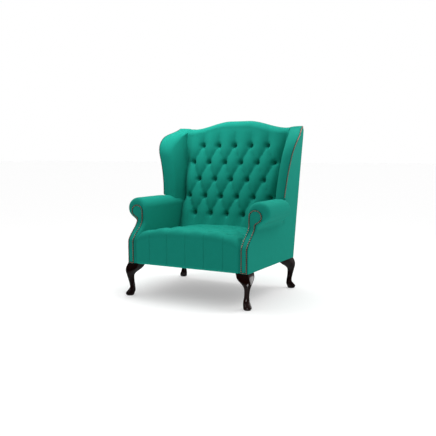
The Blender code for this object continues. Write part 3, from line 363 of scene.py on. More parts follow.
wool, bronze = makeWool(), makeBronze()
# mahogany, stained almost black and french polished: deep red in the grain under a clear wet-looking gloss
mahogany = makeGrained("polished_mahogany", {
    "Roughness": 0.20, "Specular IOR Level": 0.10, "Coat Weight": 1.0, "Coat Roughness": 0.06,
    "Coat IOR": 1.5}, {
    "stops": ((0.38, "#120302"), (0.68, "#260a06")), "grainMm": (3.5, 3.5, 60.0),
    "grain": {"Detail": 5.0, "Distortion": 0.6}, "rough": {"To Min": 0.14, "To Max": 0.30}})
# planed beech: pale pink-brown with short dark flecks along the grain, bare and matt
beech = makeGrained("planed_beech", {"Roughness": 0.62}, {
    "stops": ((0.3, "#b98a5e"), (0.7, "#d9b48a")), "grainMm": (14.0, 1.6, 1.6), "grain": {"Detail": 4.0}})
# drawn spring wire and plated bolts: grey, with a fine grain that dulls it
steel = makeGrained("drawn_steel", {"Metallic": 1.0, "Roughness": 0.35}, {
    "stops": ((0.3, "#86888a"), (0.7, "#b4b6b8")), "grainMm": (0.8, 0.8, 0.8), "grain": {"Detail": 2.0}})
# needled felt: grey-brown fibres pressed flat, no weave
felt = makeGrained("needled_felt", {"Roughness": 0.96}, {
    "stops": ((0.3, "#6f6a60"), (0.7, "#918b7f")), "grainMm": (1.8, 1.8, 1.8), "grain": {"Detail": 4.0}})
webbing = makeWoven("jute_webbing", {"Roughness": 0.95},
                    {"gap": "#5f4a30", "thread": "#a98a5c", "threadMm": 2.0, "ways": "XZ"})
cambric = makeWoven("black_cambric", {"Roughness": 0.9},
                    {"gap": "#050505", "thread": "#1d1d1d", "threadMm": 0.9, "ways": "XY"})
hiddenFinishes = {
    "rail": beech, "post": beech, "block": beech, "spring": steel, "bolt": steel, "strap": webbing,
    "platform": felt, "dust_cover": cambric,
}
for nodeName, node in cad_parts.items():
    for word, material in hiddenFinishes.items():
        if word in nodeName:
            node.data.materials.clear()
            node.data.materials.append(material)
print("materials made")

# covered buttons
button = {"radius": 0.0100, "high": 0.0050, "rise": 0.001}

# tufted back, with a camel-shaped top
back = {
    "crestZ": 1.154, "dipZ": 1.1015, "hump": 0.070, "dipX": 0.360, "cornerRise": 0.060,
    "pitch": 0.126, "rowPitch": 0.1187, "firstRowZ": 0.977, "firstRowY": 0.3186, "lean": 0.2743, "rows": 5,
    "pillow": 0.034, "fold": 0.62, "pit": 0.020, "pitShare": 0.42, "hole": 0.0122, "holeDeep": 0.024,
    "lowStart": 0.1, "topFull": 0.85,      # how the tufts end below the last row and above the first
    "sideDrop": 0.045, "sideShare": 0.6, "topRound": 0.050, "ridge": 0.90, "rearFall": 0.014, "lip": 0.0065,
    "rearSet": 0.0344, "padFall": 0.012,   # from the outer back to the rear of the padding, and at its top
    "columnSteps": 14, "sideSteps": 14, "rowSteps": 22,
    "pressure": 4.0, "swellCap": 0.006,
    "heldFold": 0.30, "heldRear": 0.004, "heldTop": 0.04, "heldLow": 0.01, "heldFade": 0.05,
}
lastRowZ = back["firstRowZ"] - (back["rows"] - 1) * back["rowPitch"]


def tuft(x, along, first, last, look):
    # height from 0 in a button's pit to 1 on a pillow; buttons stand at whole numbers whose sum is even
    half = 0.5 * look["pitch"]
    across = x / half
    a, b = min(outermost, abs(across)), min(last, max(first, along))
    pillow = abs(sin(0.5 * pi * (a + b)) * sin(0.5 * pi * (a - b)))
    near = 1.0
    for row in range(floor(b), floor(b) + 2):
        for column in range(floor(across) - 1, floor(across) + 3):
            if (row + column) % 2 == 0 and abs(column) <= outermost and first <= row <= last:
                near = min(near, hypot((across - column) * half, (along - row) * look["rowPitch"]))
    funnel = 1.0 - exp(-(near / look["pit"]) ** 2)
    hole = look["holeDeep"] / look["pillow"] * exp(-(near / look["hole"]) ** 2)
    return look["pitShare"] * funnel + (1.0 - look["pitShare"]) * pillow ** look["fold"] - hole


def columnsTo(edge, look):
    # places across a buttoned cover, crowded at the buttons
    field = [0.5 * look["pitch"] * t for t in crowd(-outermost, outermost, look["columnSteps"])]
    right = spread(field[-1], edge, look["sideSteps"])[1:]
    return [-x for x in reversed(right)] + field + right


def fieldSpots(rows):
    return [(column, row) for row in range(rows) for column in range(-outermost, outermost + 1)
            if (row + column) % 2 == 0]


def buttonsOn(spots):
    bm = bmesh.new()
    for place, normal in spots:
        addDome(bm, place + normal * button["rise"], normal, button["radius"], button["high"], (16, 8))
    return bm


def crestZ(x):
    x = abs(x)
    fall = smooth((x - back["hump"]) / (back["dipX"] - back["hump"]))
    return mix(back["crestZ"], back["dipZ"], fall) + back["cornerRise"] * max(0.0, x - back["dipX"])


def buttonY(z):
    return back["firstRowY"] - back["lean"] * (back["firstRowZ"] - z)


def backHalf(z):
    # half the width between the wings, whose padding is fuller from the middle of the arms' rolls up
    return innerHalf(z) - wing["rearPad"] * smooth((z - arm["rollZ"]) / wing["padHigh"])


def sideDrop(x, z):
    room = outerBackY(z) - back["rearSet"] - buttonY(z)
    start = 0.5 * outermost * back["pitch"]
    share = (min(abs(x), backHalf(z)) - start) / (backHalf(z) - start)
    return min(back["sideDrop"], back["sideShare"] * room) * max(0.0, share) ** 2


def backHeight(x, z):
    along = (z - back["firstRowZ"]) / back["rowPitch"]
    height = tuft(x, along, 1 - back["rows"], 0, back)
    below = smooth((lastRowZ - z) / back["rowPitch"] - back["lowStart"])
    return mix(height, 1.0, max(below, back["topFull"] * smooth(along)))


def backFace(x, z):
    return buttonY(z) - back["pillow"] * backHeight(x, z) + sideDrop(x, z)


def backColumns(y, z):
    return columnsTo(min(armInner(z), backHalf(z)) + wingFlare(y, z) - chair["gap"], back)


def backCover():
    heights = spread(chair["padFloorZ"], lastRowZ, 18)[:-1]
    steps = crowd(1 - back["rows"], 0, back["rowSteps"])
    heights += [back["firstRowZ"] + back["rowPitch"] * t for t in steps]
    rows = []
    for z in heights:
        columns = backColumns(backFace(backHalf(z), z), z)
        rows.append(([(x, backFace(x, z), z) for x in columns],
                     [(x, outerBackY(z) - back["rearSet"], z) for x in columns]))
    # from the first row of buttons to the camel's outline
    cornerX = rearHalf(back["dipZ"]) - 0.5 * chair["sideThick"]
    for share in spread(0.0, 1.0, 18)[1:]:
        cornerZ = mix(back["firstRowZ"], crestZ(cornerX) - back["topRound"], share)
        face, rear = [], []
        for x in backColumns(backFace(cornerX, cornerZ), cornerZ):
            z = mix(back["firstRowZ"], crestZ(x) - back["topRound"], share)
            face.append((x, backFace(x, z), z))
            rear.append((x, outerBackY(z) - back["rearSet"], z))
        rows.append((face, rear))
    # over the top: a long roll up to the ridge and a short one down to the outside back
    turns = spread(0.0, 0.5 * pi, 16)[1:]
    lip = [(back["ridge"] * (1.0 - cos(t)), back["topRound"] * (sin(t) - 1.0)) for t in turns]
    lip += [(mix(back["ridge"], 1.0, sin(t)), back["rearFall"] * (cos(t) - 1.0)) for t in turns]
    padDrop = back["rearFall"] + back["padFall"]
    for share, drop in lip:
        cornerZ = crestZ(cornerX) + drop
        cornerY = mix(backFace(cornerX, cornerZ), outerBackY(cornerZ) - back["lip"], share)
        face, rear = [], []
        for x in backColumns(cornerY, cornerZ):
            crest = crestZ(x)
            farY = outerBackY(crest) - back["lip"]
            face.append((x, mix(backFace(x, crest - back["topRound"]), farY, share), crest + drop))
            rearY = outerBackY(crest - padDrop) - back["rearSet"]
            rearZ = mix(crest - back["topRound"], crest - padDrop, min(1.0, 3.0 * share))
            rear.append((x, mix(rearY, farY, smooth(1.5 * share - 0.5)), rearZ))
        rows.append((face, rear))
    return gridFrom(*zip(*rows), rearStep=8)


def backButtonSpots():
    normal = Vector((0.0, -1.0, back["lean"])).normalized()
    spots = []
    for column, row in fieldSpots(back["rows"]):
        x, z = 0.5 * back["pitch"] * column, back["firstRowZ"] - back["rowPitch"] * row
        spots.append((Vector((x, backFace(x, z), z)), normal))
    return spots


def backHold(place):
    # the rear, the top, the band below the buttons and the pleats stay, the pillows are free
    x, y, z = place
    if z > back["firstRowZ"] + back["heldTop"] or y > backFace(x, z) + back["heldRear"]:
        return 1.0
    free = smooth((backHeight(x, z) - back["heldFold"]) / back["heldFold"])
    return 1.0 - free * smooth((z - lastRowZ - back["heldLow"]) / back["heldFade"])


backPiece = addPiece("inside_back_cover", backCover(), wool, ["inside_back"], sharpDegrees=75)
swell(backPiece, backHold, back)
addPiece("back_buttons", buttonsOn(backButtonSpots()), wool)
print("tufted back made")

# buttoned seat, its pleats drawn over the front edge and down to the base
seat = {
    "crownZ": 0.4525, "sideZ": 0.411, "half": 0.3575, "power": 4, "rake": 0.054, "edgeRadius": 0.055,
    "pillow": 0.015, "fold": 0.75, "pit": 0.017, "pitShare": 0.45, "hole": 0.0100, "holeDeep": 0.008,
    "flat": 0.6, "flatStart": 0.24, "flatWide": 0.10,   # the tufts are shallower beside the arms
    "pitch": 0.1312, "rowPitch": 0.080, "firstRowY": -0.296, "rows": 5,
    "columnSteps": 14, "sideSteps": 12, "rowSteps": 16,
    "seam": 0.0037, "seamWidth": 0.0025,                # the pleats down the front are narrow folds
    "hem": 0.004, "hemStart": 0.93, "hemShare": 0.07,   # the front turns in at the base
    "frontHalf": 0.3812, "tuck": 0.55, "sideRound": 0.016, "railSet": 0.0247, "rearReach": 0.1,
    "pressure": 3.0, "swellCap": 0.004,
    "heldFold": 0.30, "heldRear": 0.004, "heldSide": 2.6,
}
seatEdgeY = chair["frontY"] + seat["edgeRadius"]


def seatCrown(x, y):
    dome = mix(seat["crownZ"], seat["sideZ"], abs(x / seat["half"]) ** seat["power"])
    return dome - seat["rake"] * max(0.0, y - seatEdgeY)


def seatHeight(x, y):
    along = (y - seat["firstRowY"]) / seat["rowPitch"]
    last = seat["rows"] - 1
    return mix(tuft(x, along, 0, last, seat), 1.0, smooth(along - last))


def seamDepth(x):
    if abs(x) >= 0.5 * outermost * seat["pitch"]:
        return 0.0
    away = abs((abs(x) / seat["pitch"] + 0.5) % 1.0 - 0.5) * seat["pitch"]
    return seat["seam"] * exp(-(away / seat["seamWidth"]) ** 2)


def sideTuck(x, edge):
    # the cover turns down where it meets the arm or the facing
    return seat["sideRound"] * smooth((abs(x) - edge) / (2.0 * seat["sideRound"]) + 1.0) ** 2


def seatTopZ(x, y, edge):
    depth = seat["pillow"] * (1.0 - seat["flat"] * smooth((abs(x) - seat["flatStart"]) / seat["flatWide"]))
    return seatCrown(x, y) - depth * (1.0 - seatHeight(x, y)) - sideTuck(x, edge)


def seatCover():
    lastY = seat["firstRowY"] + (seat["rows"] - 1) * seat["rowPitch"]
    railY = chair["frontY"] + seat["railSet"]
    topEdge = armInner(seat["sideZ"]) - chair["gap"]
    floorZ = chair["padFloorZ"]
    under = columnsTo(topEdge, seat)
    rows = []
    # from the back's foot to the last row of buttons, then over the field to the front edge
    for share in spread(0.0, 1.0, 13)[:-1]:
        face, rear = [], []
        for x in under:
            z = seatCrown(x, lastY + seat["rearReach"])
            rearY = buttonY(z) - back["pillow"] + seat["tuck"] * sideDrop(x, z) - chair["gap"]
            y = mix(rearY, lastY, share)
            face.append((x, y, seatTopZ(x, y, topEdge)))
            rear.append((x, y, floorZ))
        rows.append((face, rear))
    field = [seat["firstRowY"] + seat["rowPitch"] * t for t in crowd(0, seat["rows"] - 1, seat["rowSteps"])]
    for y in field[::-1] + spread(seat["firstRowY"], seatEdgeY, 10)[1:]:
        rows.append(([(x, y, seatTopZ(x, y, topEdge)) for x in under], [(x, y, floorZ) for x in under]))
    # round the front edge, where the tufts run out into pleats, and down
    for share in spread(0.0, 1.0, 20)[1:]:
        turn = 0.5 * pi * share
        edge = mix(topEdge, seat["frontHalf"], smooth(share))
        face = []
        for x in columnsTo(edge, seat):
            dent = mix(seat["pillow"] * (1.0 - seatHeight(x, seatEdgeY)), seamDepth(x), smooth(1.5 * share))
            reach = seat["edgeRadius"] - dent - sideTuck(x, edge)
            crown = seatCrown(x, chair["frontY"]) - seat["edgeRadius"]
            face.append((x, seatEdgeY - reach * sin(turn), crown + reach * cos(turn)))
        rows.append((face, [(x, mix(seatEdgeY, railY, share), floorZ) for x in under]))
    for share in spread(0.0, 1.0, 24)[1:]:
        hem = seat["hem"] * smooth((share - seat["hemStart"]) / seat["hemShare"]) ** 2
        face = []
        for x in columnsTo(seat["frontHalf"], seat):
            z = mix(seatCrown(x, chair["frontY"]) - seat["edgeRadius"], chair["baseZ"], share)
            face.append((x, chair["frontY"] + seamDepth(x) + sideTuck(x, seat["frontHalf"]) + hem, z))
        rows.append((face, [(x, railY, mix(floorZ, chair["baseZ"], share)) for x in under]))
    return gridFrom(*zip(*rows), rearStep=8)


def seatButtonSpots():
    spots, power = [], seat["power"]
    for column, row in fieldSpots(seat["rows"]):
        x, y = 0.5 * seat["pitch"] * column, seat["firstRowY"] + seat["rowPitch"] * row
        slope = power * x ** (power - 1) * (seat["crownZ"] - seat["sideZ"]) / seat["half"] ** power
        spots.append((Vector((x, y, seatTopZ(x, y, 1.0))), Vector((slope, seat["rake"], 1.0)).normalized()))
    return spots


def seatHold(place):
    # the front, the sides, the underside and the pleats stay
    x, y, z = place
    aside = abs(x) > seat["heldSide"] * seat["pitch"]
    if y < seatEdgeY or aside or z < seatTopZ(x, y, 1.0) - seat["heldRear"]:
        return 1.0
    return 1.0 - smooth((seatHeight(x, y) - seat["heldFold"]) / seat["heldFold"])


seatPiece = addPiece("seat_cover", seatCover(), wool, ["seat"], sharpDegrees=75)
swell(seatPiece, seatHold, seat)
addPiece("seat_buttons", buttonsOn(seatButtonSpots()), wool)
print("buttoned seat made")

# keyhole facings on the arm fronts
facing = {
    "innerX": 0.3825, "headX": 0.4273, "headZ": 0.5445, "headWide": 0.0446, "headHigh": 0.0428,
    "headStart": -58.0, "neckZ": 0.500, "neckStep": 0.003, "seamDrop": 0.006,
    "thick": 0.008, "crown": 0.0035,
    "sideStart": 0.4, "armStart": 0.6,      # shares of its thickness at which the other covers begin
    "sideRound": 0.009, "sideShare": 0.85,  # the outside cover's front edge, most of which shows beside it
    "nailRadius": 0.0055, "nailHigh": 0.0040, "nailPitch": 0.0115, "nailInset": 0.0048,
    "nailStart": -50.0, "nailSink": 0.0012, "nailSide": 0.2,
}


def outerX(y, z):
    # the side's outer face, rounded over beside the facing
    bend = facing["sideRound"]
    ahead = max(0.0, y - armFrontY(z) - facing["sideStart"] * facing["thick"])
    if z > facing["neckZ"] or ahead >= bend:
        return sideX(y, z)
    return sideX(y, z) - bend + sqrt(bend ** 2 - (bend - ahead) ** 2)


def facingOuter(z):
    return sideX(armFrontY(z), z) - facing["sideShare"] * facing["sideRound"]


def headPoint(degrees, inset=0.0):
    turn = radians(degrees)
    return (facing["headX"] + (facing["headWide"] - inset) * cos(turn),
            facing["headZ"] + (facing["headHigh"] - inset) * sin(turn))


def facingSpans():
    # height, inner x and outer x of the facing, rising
    spans = [(z, facing["innerX"], facingOuter(z)) for z in spread(chair["baseZ"], facing["neckZ"], 40)]
    for degrees in spread(facing["headStart"], 90.0, 34):
        x, z = headPoint(degrees)
        if z > facing["neckZ"] + facing["neckStep"]:
            inner = facing["innerX"] if degrees < 0.0 else 2.0 * facing["headX"] - x
            spans.append((z, max(facing["innerX"], inner), x))
    return spans


def facingCover():
    rows = []
    for z, inner, outer in facingSpans():
        y = armFrontY(z)
        face, rear = [], []
        for share in spread(0.0, 1.0, 17):
            rim = min(1.0, 4.0 * min(share, 1.0 - share))   # a quarter of the width is rounded on either side
            rise = facing["crown"] * sqrt(1.0 - (1.0 - rim) ** 2)
            face.append((mix(inner, outer, share), y + facing["crown"] - rise, z))
            rear.append((mix(inner, outer, share), y + facing["thick"], z))
        rows.append((face, rear))
    return gridFrom(*zip(*rows))


def evenPoints(path, pitch, closed):
    # points at even steps along a path
    ends = path[1:] + path[:1] if closed else path[1:]
    lengths = [(Vector(b) - Vector(a)).length for a, b in zip(path, ends)]
    total = sum(lengths)
    count = max(2, round(total / pitch))
    step = total / count if closed else total / (count - 1)
    points, along, i = [], 0.0, 0
    for k in range(count):
        target = k * step
        while i < len(lengths) - 1 and along + lengths[i] < target:
            along += lengths[i]
            i += 1
        share = min(1.0, (target - along) / max(lengths[i], 1e-9))
        points.append(Vector(path[i]).lerp(Vector(ends[i]), share))
    return points


def nailsOn(spots):
    bm = bmesh.new()
    # this height drives the bronze's painted shade at the rim and painted highlight on top
    dome = bm.verts.layers.float.new("dome")   # 0 at a nail's rim, 1 on top
    high = facing["nailHigh"]
    for place, normal in spots:
        for vert in addDome(bm, place, normal, facing["nailRadius"], high, (8, 6)):
            vert[dome] = max(0.0, (vert.co - place).dot(normal) / high)
    return bm


def facingNailSpots():
    inset = facing["nailInset"]
    low = chair["baseZ"] + inset
    path = [(facingOuter(z) - facing["nailSide"] * inset, z) for z in spread(low, facing["neckZ"], 40)]
    path += [headPoint(degrees, inset) for degrees in spread(facing["nailStart"], 180.0, 60)]
    path += [(facing["innerX"] + inset, z) for z in spread(facing["headZ"], low, 40)[1:]]
    spots = []
    for x, z in evenPoints(path, facing["nailPitch"], True):
        slope = (armFrontY(z + slopeStep) - armFrontY(z - slopeStep)) / (2.0 * slopeStep)
        normal = Vector((0.0, -1.0, slope)).normalized()
        spots.append((Vector((x, armFrontY(z) + facing["nailSink"], z)), normal))
    return spots


# arm covers: up the inner side, over the roll and under it to the outside cover

def seamHeight(grow):
    return mix(facing["neckZ"] - facing["seamDrop"], arm["seamZ"], grow)


def armRing(grow, y, full, inset):
    # one section: grow goes from the facing's outline, 0, to the roll, 1
    # full goes from the roll's rear end, 0, to the whole roll, 1
    radius = arm["rollRadius"]
    centreX, centreZ = mix(facing["headX"], rollX, grow), mix(facing["headZ"], arm["rollZ"], grow)
    wide, high = mix(facing["headWide"], radius, grow), mix(facing["headHigh"], radius, grow)
    ahead = smooth((wing["footY"] - y(arm["rollZ"])) / arm["fallLength"])
    top = mix(arm["rearTopZ"] - arm["rollZ"], high, ahead)
    reach, under = mix(arm["endReach"], wide + arm["bulge"] * grow, full), mix(arm["endReach"], high, full)
    lowZ = chair["baseZ"] + arm["floorGap"]
    ring = [(mix(facing["innerX"], armInner(z), grow), z) for z in spread(lowZ, centreZ, 26)]
    for degrees in spread(180.0, arm["underDegrees"], 64)[1:]:
        turn = radians(degrees)
        ring.append((centreX + (wide if degrees > 90.0 else reach) * cos(turn),
                     centreZ + (top if degrees > 0.0 else under) * sin(turn)))
    start, before = Vector((*ring[-1], 0.0)), Vector((*ring[-2], 0.0))
    seamZ = seamHeight(grow)
    end = Vector((outerX(y(seamZ), seamZ), seamZ, 0.0))
    away = (start - before).normalized() * mix(*arm["rollPull"], grow)
    upwards = Vector((0.0, mix(*arm["seamPull"], grow), 0.0))
    curve = interpolate_bezier(start, start + away, end + upwards, end, 18)
    ring += [(point.x, point.y) for point in curve[1:]]
    if inset:
        ring = [(min(x, sideX(y(z), z) - inset), z) for x, z in ring]
    wall = end.x - chair["pocket"]
    ring += [(ring[-1][0] - chair["panel"], seamZ), (wall, seamZ - arm["seamStep"]), (wall, lowZ), ring[0]]
    return [(x, y(z), z) for x, z in ring]


def frontTurns():
    # how far the front has grown to the full roll, and how far behind the facing's front that is
    return [(sin(turn), facing["armStart"] * facing["thick"] + arm["frontRound"] * (1.0 - cos(turn)))
            for turn in spread(0.0, 0.5 * pi, 16)]


def armCover():
    rings = [armRing(grow, lambda z: armFrontY(z) + start, 1.0, 0.0) for grow, start in frontTurns()]
    begin, straightEnd = frontTurns()[-1][1], arm["rollEndY"] - arm["rearRound"]
    for share in spread(0.0, 1.0, 22)[1:]:
        rings.append(armRing(1.0, lambda z: mix(armFrontY(z) + begin, straightEnd, share), 1.0, 0.0))
    for turn in spread(0.0, 0.5 * pi, 16)[1:]:
        rings.append(armRing(1.0, lambda z: straightEnd + arm["rearRound"] * sin(turn), cos(turn), 0.0))
    for y in (arm["rollEndY"] + arm["endGap"], outerBackY(arm["sweepLowZ"]) - back["rearSet"]):
        rings.append(armRing(1.0, lambda z: y, 0.0, chair["panel"] + chair["gap"]))
    bm = gridFrom(rings)
    bmesh.ops.triangulate(bm, faces=closeEnds(bm), ngon_method="EAR_CLIP")
    return bm


# wing pads, rolled over at the front edge and the ear

def wingOutline():
    corners = ((wing["footY"], arm["rearTopZ"] + wing["footGap"]), (wing["frontY"], wing["earLowZ"]),
               (wing["earTopY"], wing["earTopZ"]), (wing["topY"], wing["topZ"]))
    edge = [corners[0]]
    for low, high, pulls, steps in zip(corners, corners[1:], wing["pulls"], (24, 20, 24)):
        start, end = Vector((*low, 0.0)), Vector((*high, 0.0))
        leave, arrive = [Vector((y * (end.x - start.x), z * (end.y - start.y), 0.0)) for y, z in pulls]
        curve = interpolate_bezier(start, start + leave, end - arrive, end, steps)
        edge += [(point.x, point.y) for point in curve[1:]]
    return edge


wingEdge = wingOutline()


def edgeDistance(y, z):
    here, nearest = Vector((y, z)), 1.0
    for low, high in zip(wingEdge, wingEdge[1:]):
        start = Vector(low)
        along = Vector(high) - start
        t = min(1.0, max(0.0, (here - start).dot(along) / along.length_squared))
        nearest = min(nearest, (here - start - along * t).length)
    return nearest


def fanRows(path, inset, rise, crowding, count):
    # rows from each point of an outline to the rear edge, crowded towards the outline
    shares = [share ** crowding for share in spread(0.0, 1.0, count)]
    rows = []
    for i, (y, z) in enumerate(path):
        rearZ = mix(path[0][1], wing["topZ"] - wing["cornerDrop"], (i / (len(path) - 1)) ** rise)
        rearY = outerBackY(rearZ) - inset
        rows.append([(mix(y, rearY, share), mix(z, rearZ, share)) for share in shares])
    return rows


def rollFall(x, z):
    # how far the wing's foot reaches down to the round of the arm under it
    aside = min(1.0, max(0.0, rollX - x) / arm["rollRadius"])
    fall = (arm["rearTopZ"] - arm["rollZ"]) * (1.0 - sqrt(1.0 - aside ** 2))
    return fall * (1.0 - smooth((z - wingEdge[0][1]) / wing["footHigh"]))


def wingCover():
    outer = chair["panel"] + chair["gap"]
    rows = []
    for row in fanRows(wingEdge, outer, 0.9, 1.7, 44):
        face, rear = [], []
        for y, z in row:
            away = edgeDistance(y, z)
            behind = smooth((y - wing["earTopY"]) / (wing["topY"] - wing["earTopY"]))
            inside = min(1.0, away / mix(wing["roll"], wing["rollRear"], behind))
            fuller = smooth((y - wing["frontY"] - wing["padStart"]) / wing["padLength"])
            thick = chair["sideThick"] + wing["rearPad"] * fuller
            depth = mix(outer, thick, sqrt(1.0 - (1.0 - inside) ** 2))
            pocket = mix(outer, chair["pocket"], smooth((away - wing["edgePad"]) / wing["pocketEdge"]))
            pocket = mix(pocket, outer, smooth((z - wing["topZ"] + wing["closeDrop"]) / wing["closeHigh"]))
            face.append((sideX(y, z) - depth, y, z - rollFall(sideX(y, z) - depth, z)))
            rear.append((sideX(y, z) - min(depth, pocket), y, z))
        rows.append((face, rear))
    return gridFrom(*zip(*rows))


def wingNailSpots():
    lowZ, endY = arm["rearTopZ"] + facing["nailRadius"], wing["topY"] - wing["nailEnd"]
    spots = evenPoints([(y, z) for y, z in wingEdge if z > lowZ and y < endY], facing["nailPitch"], False)
    nails = []
    for i, here in enumerate(spots):
        along = (spots[min(len(spots) - 1, i + 1)] - spots[max(0, i - 1)]).normalized()
        place = here + Vector((along.y, -along.x)) * wing["nailOut"]
        outwards = Vector((0.0, -along.y, along.x))
        normal = (sideNormal(*place) + wing["nailTurn"] * outwards).normalized()
        nails.append((Vector((sideX(*place), *place)) - wing["nailSink"] * normal, normal))
    return nails


# outside covers: from the base over the arm to the wing's nailed edge and round the rear corner

def outsideCover():
    bend = chair["cornerRound"]
    frontSet, endY = facing["sideStart"] * facing["thick"], arm["rollEndY"] + arm["endGap"]
    path = [(armFrontY(z) + frontSet, z) for z in spread(chair["baseZ"], seamHeight(0.0), 26)]
    path += [(armFrontY(seamHeight(grow)) + start, seamHeight(grow)) for grow, start in frontTurns()[1:]]
    path += [(y, arm["seamZ"]) for y in spread(path[-1][0], endY, 26)[1:]]
    path += [(endY, z) for z in spread(arm["seamZ"], wingEdge[0][1], 16)[1:]]
    path += wingEdge
    rows = []
    for row in fanRows(path, bend, 1.0, 1.6, 40):
        face = [(outerX(y, z), y, z) for y, z in row]
        rear = [(x - chair["panel"], y, z) for x, y, z in face]
        centreX, centreY, z = face[-1][0] - bend, row[-1][0], row[-1][1]
        for turn in spread(0.0, 0.5 * pi, 9)[1:]:
            for side, radius in ((face, bend), (rear, bend - chair["panel"])):
                side.append((centreX + radius * cos(turn), centreY + radius * sin(turn), z))
        rows.append((face, rear))
    return gridFrom(*zip(*rows))


for word, side in (("right", 1), ("left", -1)):
    for name, bm, material, slotName, nodes in (
            ("arm_facing_cover", facingCover(), wool, "green_wool", ["arm_facing"]),
            ("arm_nails", nailsOn(facingNailSpots()), bronze, "bronze_nail", ["arm_nail_trim"]),
            ("inside_arm_cover", armCover(), wool, "green_wool", ["inside_arm"]),
            ("inside_wing_cover", wingCover(), wool, "green_wool", ["inside_wing"]),
            ("wing_nails", nailsOn(wingNailSpots()), bronze, "bronze_nail", ["wing_nail_trim"]),
            ("outside_cover", outsideCover(), wool, "green_wool", ["outer_arm_panel", "outer_wing_panel"])):
        piece = addPiece(f"{word}_{name}", bm, material, [f"{word}_{node}" for node in nodes], side)
print("arms and wings made")

# outside back, stretched over its board
outside = {
    "tuck": 0.0025,        # its edge turns in under the outside covers
    "soft": 0.0025, "softShare": 0.05, "softHigh": 0.02,   # its rounded edges
    "topGap": 0.0005, "cornerStart": 0.95, "cornerDrop": 0.35,
}


def outsideBack():
    edgeSet = chair["cornerRound"] - outside["tuck"]
    rows = []
    for share in spread(-1.0, 1.0, 61):
        top = crestZ(share * rearHalf(wing["topZ"])) - back["rearFall"] - outside["topGap"]
        corner = smooth((abs(share) - outside["cornerStart"]) / outside["softShare"])
        top -= outside["cornerDrop"] * wing["cornerDrop"] * corner
        face, rear = [], []
        for z in spread(chair["baseZ"], top, 50):
            x = share * (rearHalf(z) - edgeSet)
            edge = min(1.0, (1.0 - abs(share)) / outside["softShare"], (top - z) / outside["softHigh"],
                       (z - chair["baseZ"]) / outside["softHigh"])
            soft = outside["soft"] * (1.0 - sqrt(max(0.0, 1.0 - (1.0 - edge) ** 2)))
            face.append((x, outerBackY(z) - soft, z))
            rear.append((x, outerBackY(z) - chair["panel"], z))
        rows.append((face, rear))
    return gridFrom(*zip(*rows))


addPiece("outside_back_cover", outsideBack(), wool, ["outer_back_panel"])

# cabriole legs: square knee, slim ankle, pad foot turned out along the corner's diagonal
leg = {
    "side": 0.082, "sides": 48, "rows": 60, "frontSet": 0.006, "rearIn": 0.008, "topGap": 0.0003,
    # height share, offset outwards, half length, half width, roundness of the section
    "stations": (
        (1.00, 0.0000, 0.0580, 0.0580, 1.05), (0.95, 0.0060, 0.0585, 0.0580, 1.05),
        (0.87, 0.0145, 0.0580, 0.0560, 1.10), (0.80, 0.0245, 0.0515, 0.0475, 1.25),
        (0.72, 0.0370, 0.0375, 0.0340, 1.50), (0.65, 0.0428, 0.0270, 0.0240, 1.72),
        (0.57, 0.0425, 0.0225, 0.0180, 1.90), (0.43, 0.0375, 0.0187, 0.0152, 2.00),
        (0.31, 0.0330, 0.0175, 0.0162, 2.00), (0.22, 0.0325, 0.0190, 0.0200, 2.00),
        (0.14, 0.0395, 0.0262, 0.0230, 1.95), (0.07, 0.0485, 0.0290, 0.0252, 1.90),
        (0.02, 0.0485, 0.0252, 0.0235, 1.90), (0.00, 0.0485, 0.0208, 0.0195, 1.95)),
}


def legStation(share):
    # the section at a height, on a smooth curve through the stations
    stations = leg["stations"]
    k = next(i for i in range(len(stations) - 1) if share >= stations[i + 1][0])
    here, after = stations[k], stations[k + 1]
    before, later = stations[max(0, k - 1)], stations[min(len(stations) - 1, k + 2)]
    span = here[0] - after[0]
    t = (here[0] - share) / span
    values = []
    for i in range(1, 5):
        startSlope = (after[i] - before[i]) / max(1e-6, before[0] - after[0]) * span
        endSlope = (later[i] - here[i]) / max(1e-6, here[0] - later[0]) * span
        values.append((2 * t ** 3 - 3 * t ** 2 + 1) * here[i] + (t ** 3 - 2 * t ** 2 + t) * startSlope
                      + (3 * t ** 2 - 2 * t ** 3) * after[i] + (t ** 3 - t ** 2) * endSlope)
    return values


def cabrioleLeg(front):
    away = -1.0 if front else 1.0
    halfX, faceY = chair["frontHalf"], chair["frontY"] + leg["frontSet"]
    if not front:
        halfX, faceY = chair["rearHalf"] - leg["rearIn"], chair["backFootY"]
    centre = Vector((halfX - 0.5 * leg["side"], faceY - away * 0.5 * leg["side"]))
    out, across = Vector((1.0, away)).normalized(), Vector((-away, 1.0)).normalized()
    rows = []
    for share in spread(1.0, 0.0, leg["rows"]):
        offset, length, width, roundness = legStation(share)
        row = []
        for i in range(leg["sides"] + 1):
            turn = 2.0 * pi * i / leg["sides"]
            c, s = cos(turn), sin(turn)
            place = centre + out * (offset + length * copysign(abs(c) ** (2.0 / roundness), c))
            place += across * (width * copysign(abs(s) ** (2.0 / roundness), s))
            row.append((place.x, place.y, share * (chair["baseZ"] - leg["topGap"])))
        rows.append(row)
    bm = gridFrom(rows)
    closeEnds(bm)
    return bm


polished = bpy.data.collections.new("polished_wood")   # what the small reflectors shine on
for word, side in (("right", 1), ("left", -1)):
    for place, front in (("front", True), ("rear", False)):
        legPiece = addPiece(f"{place}_{word}_cabriole_leg", cabrioleLeg(front), mahogany,
                            [f"{place}_{word}_leg"], side, sharpDegrees=40)
        polished.objects.link(legPiece)
print("legs made")

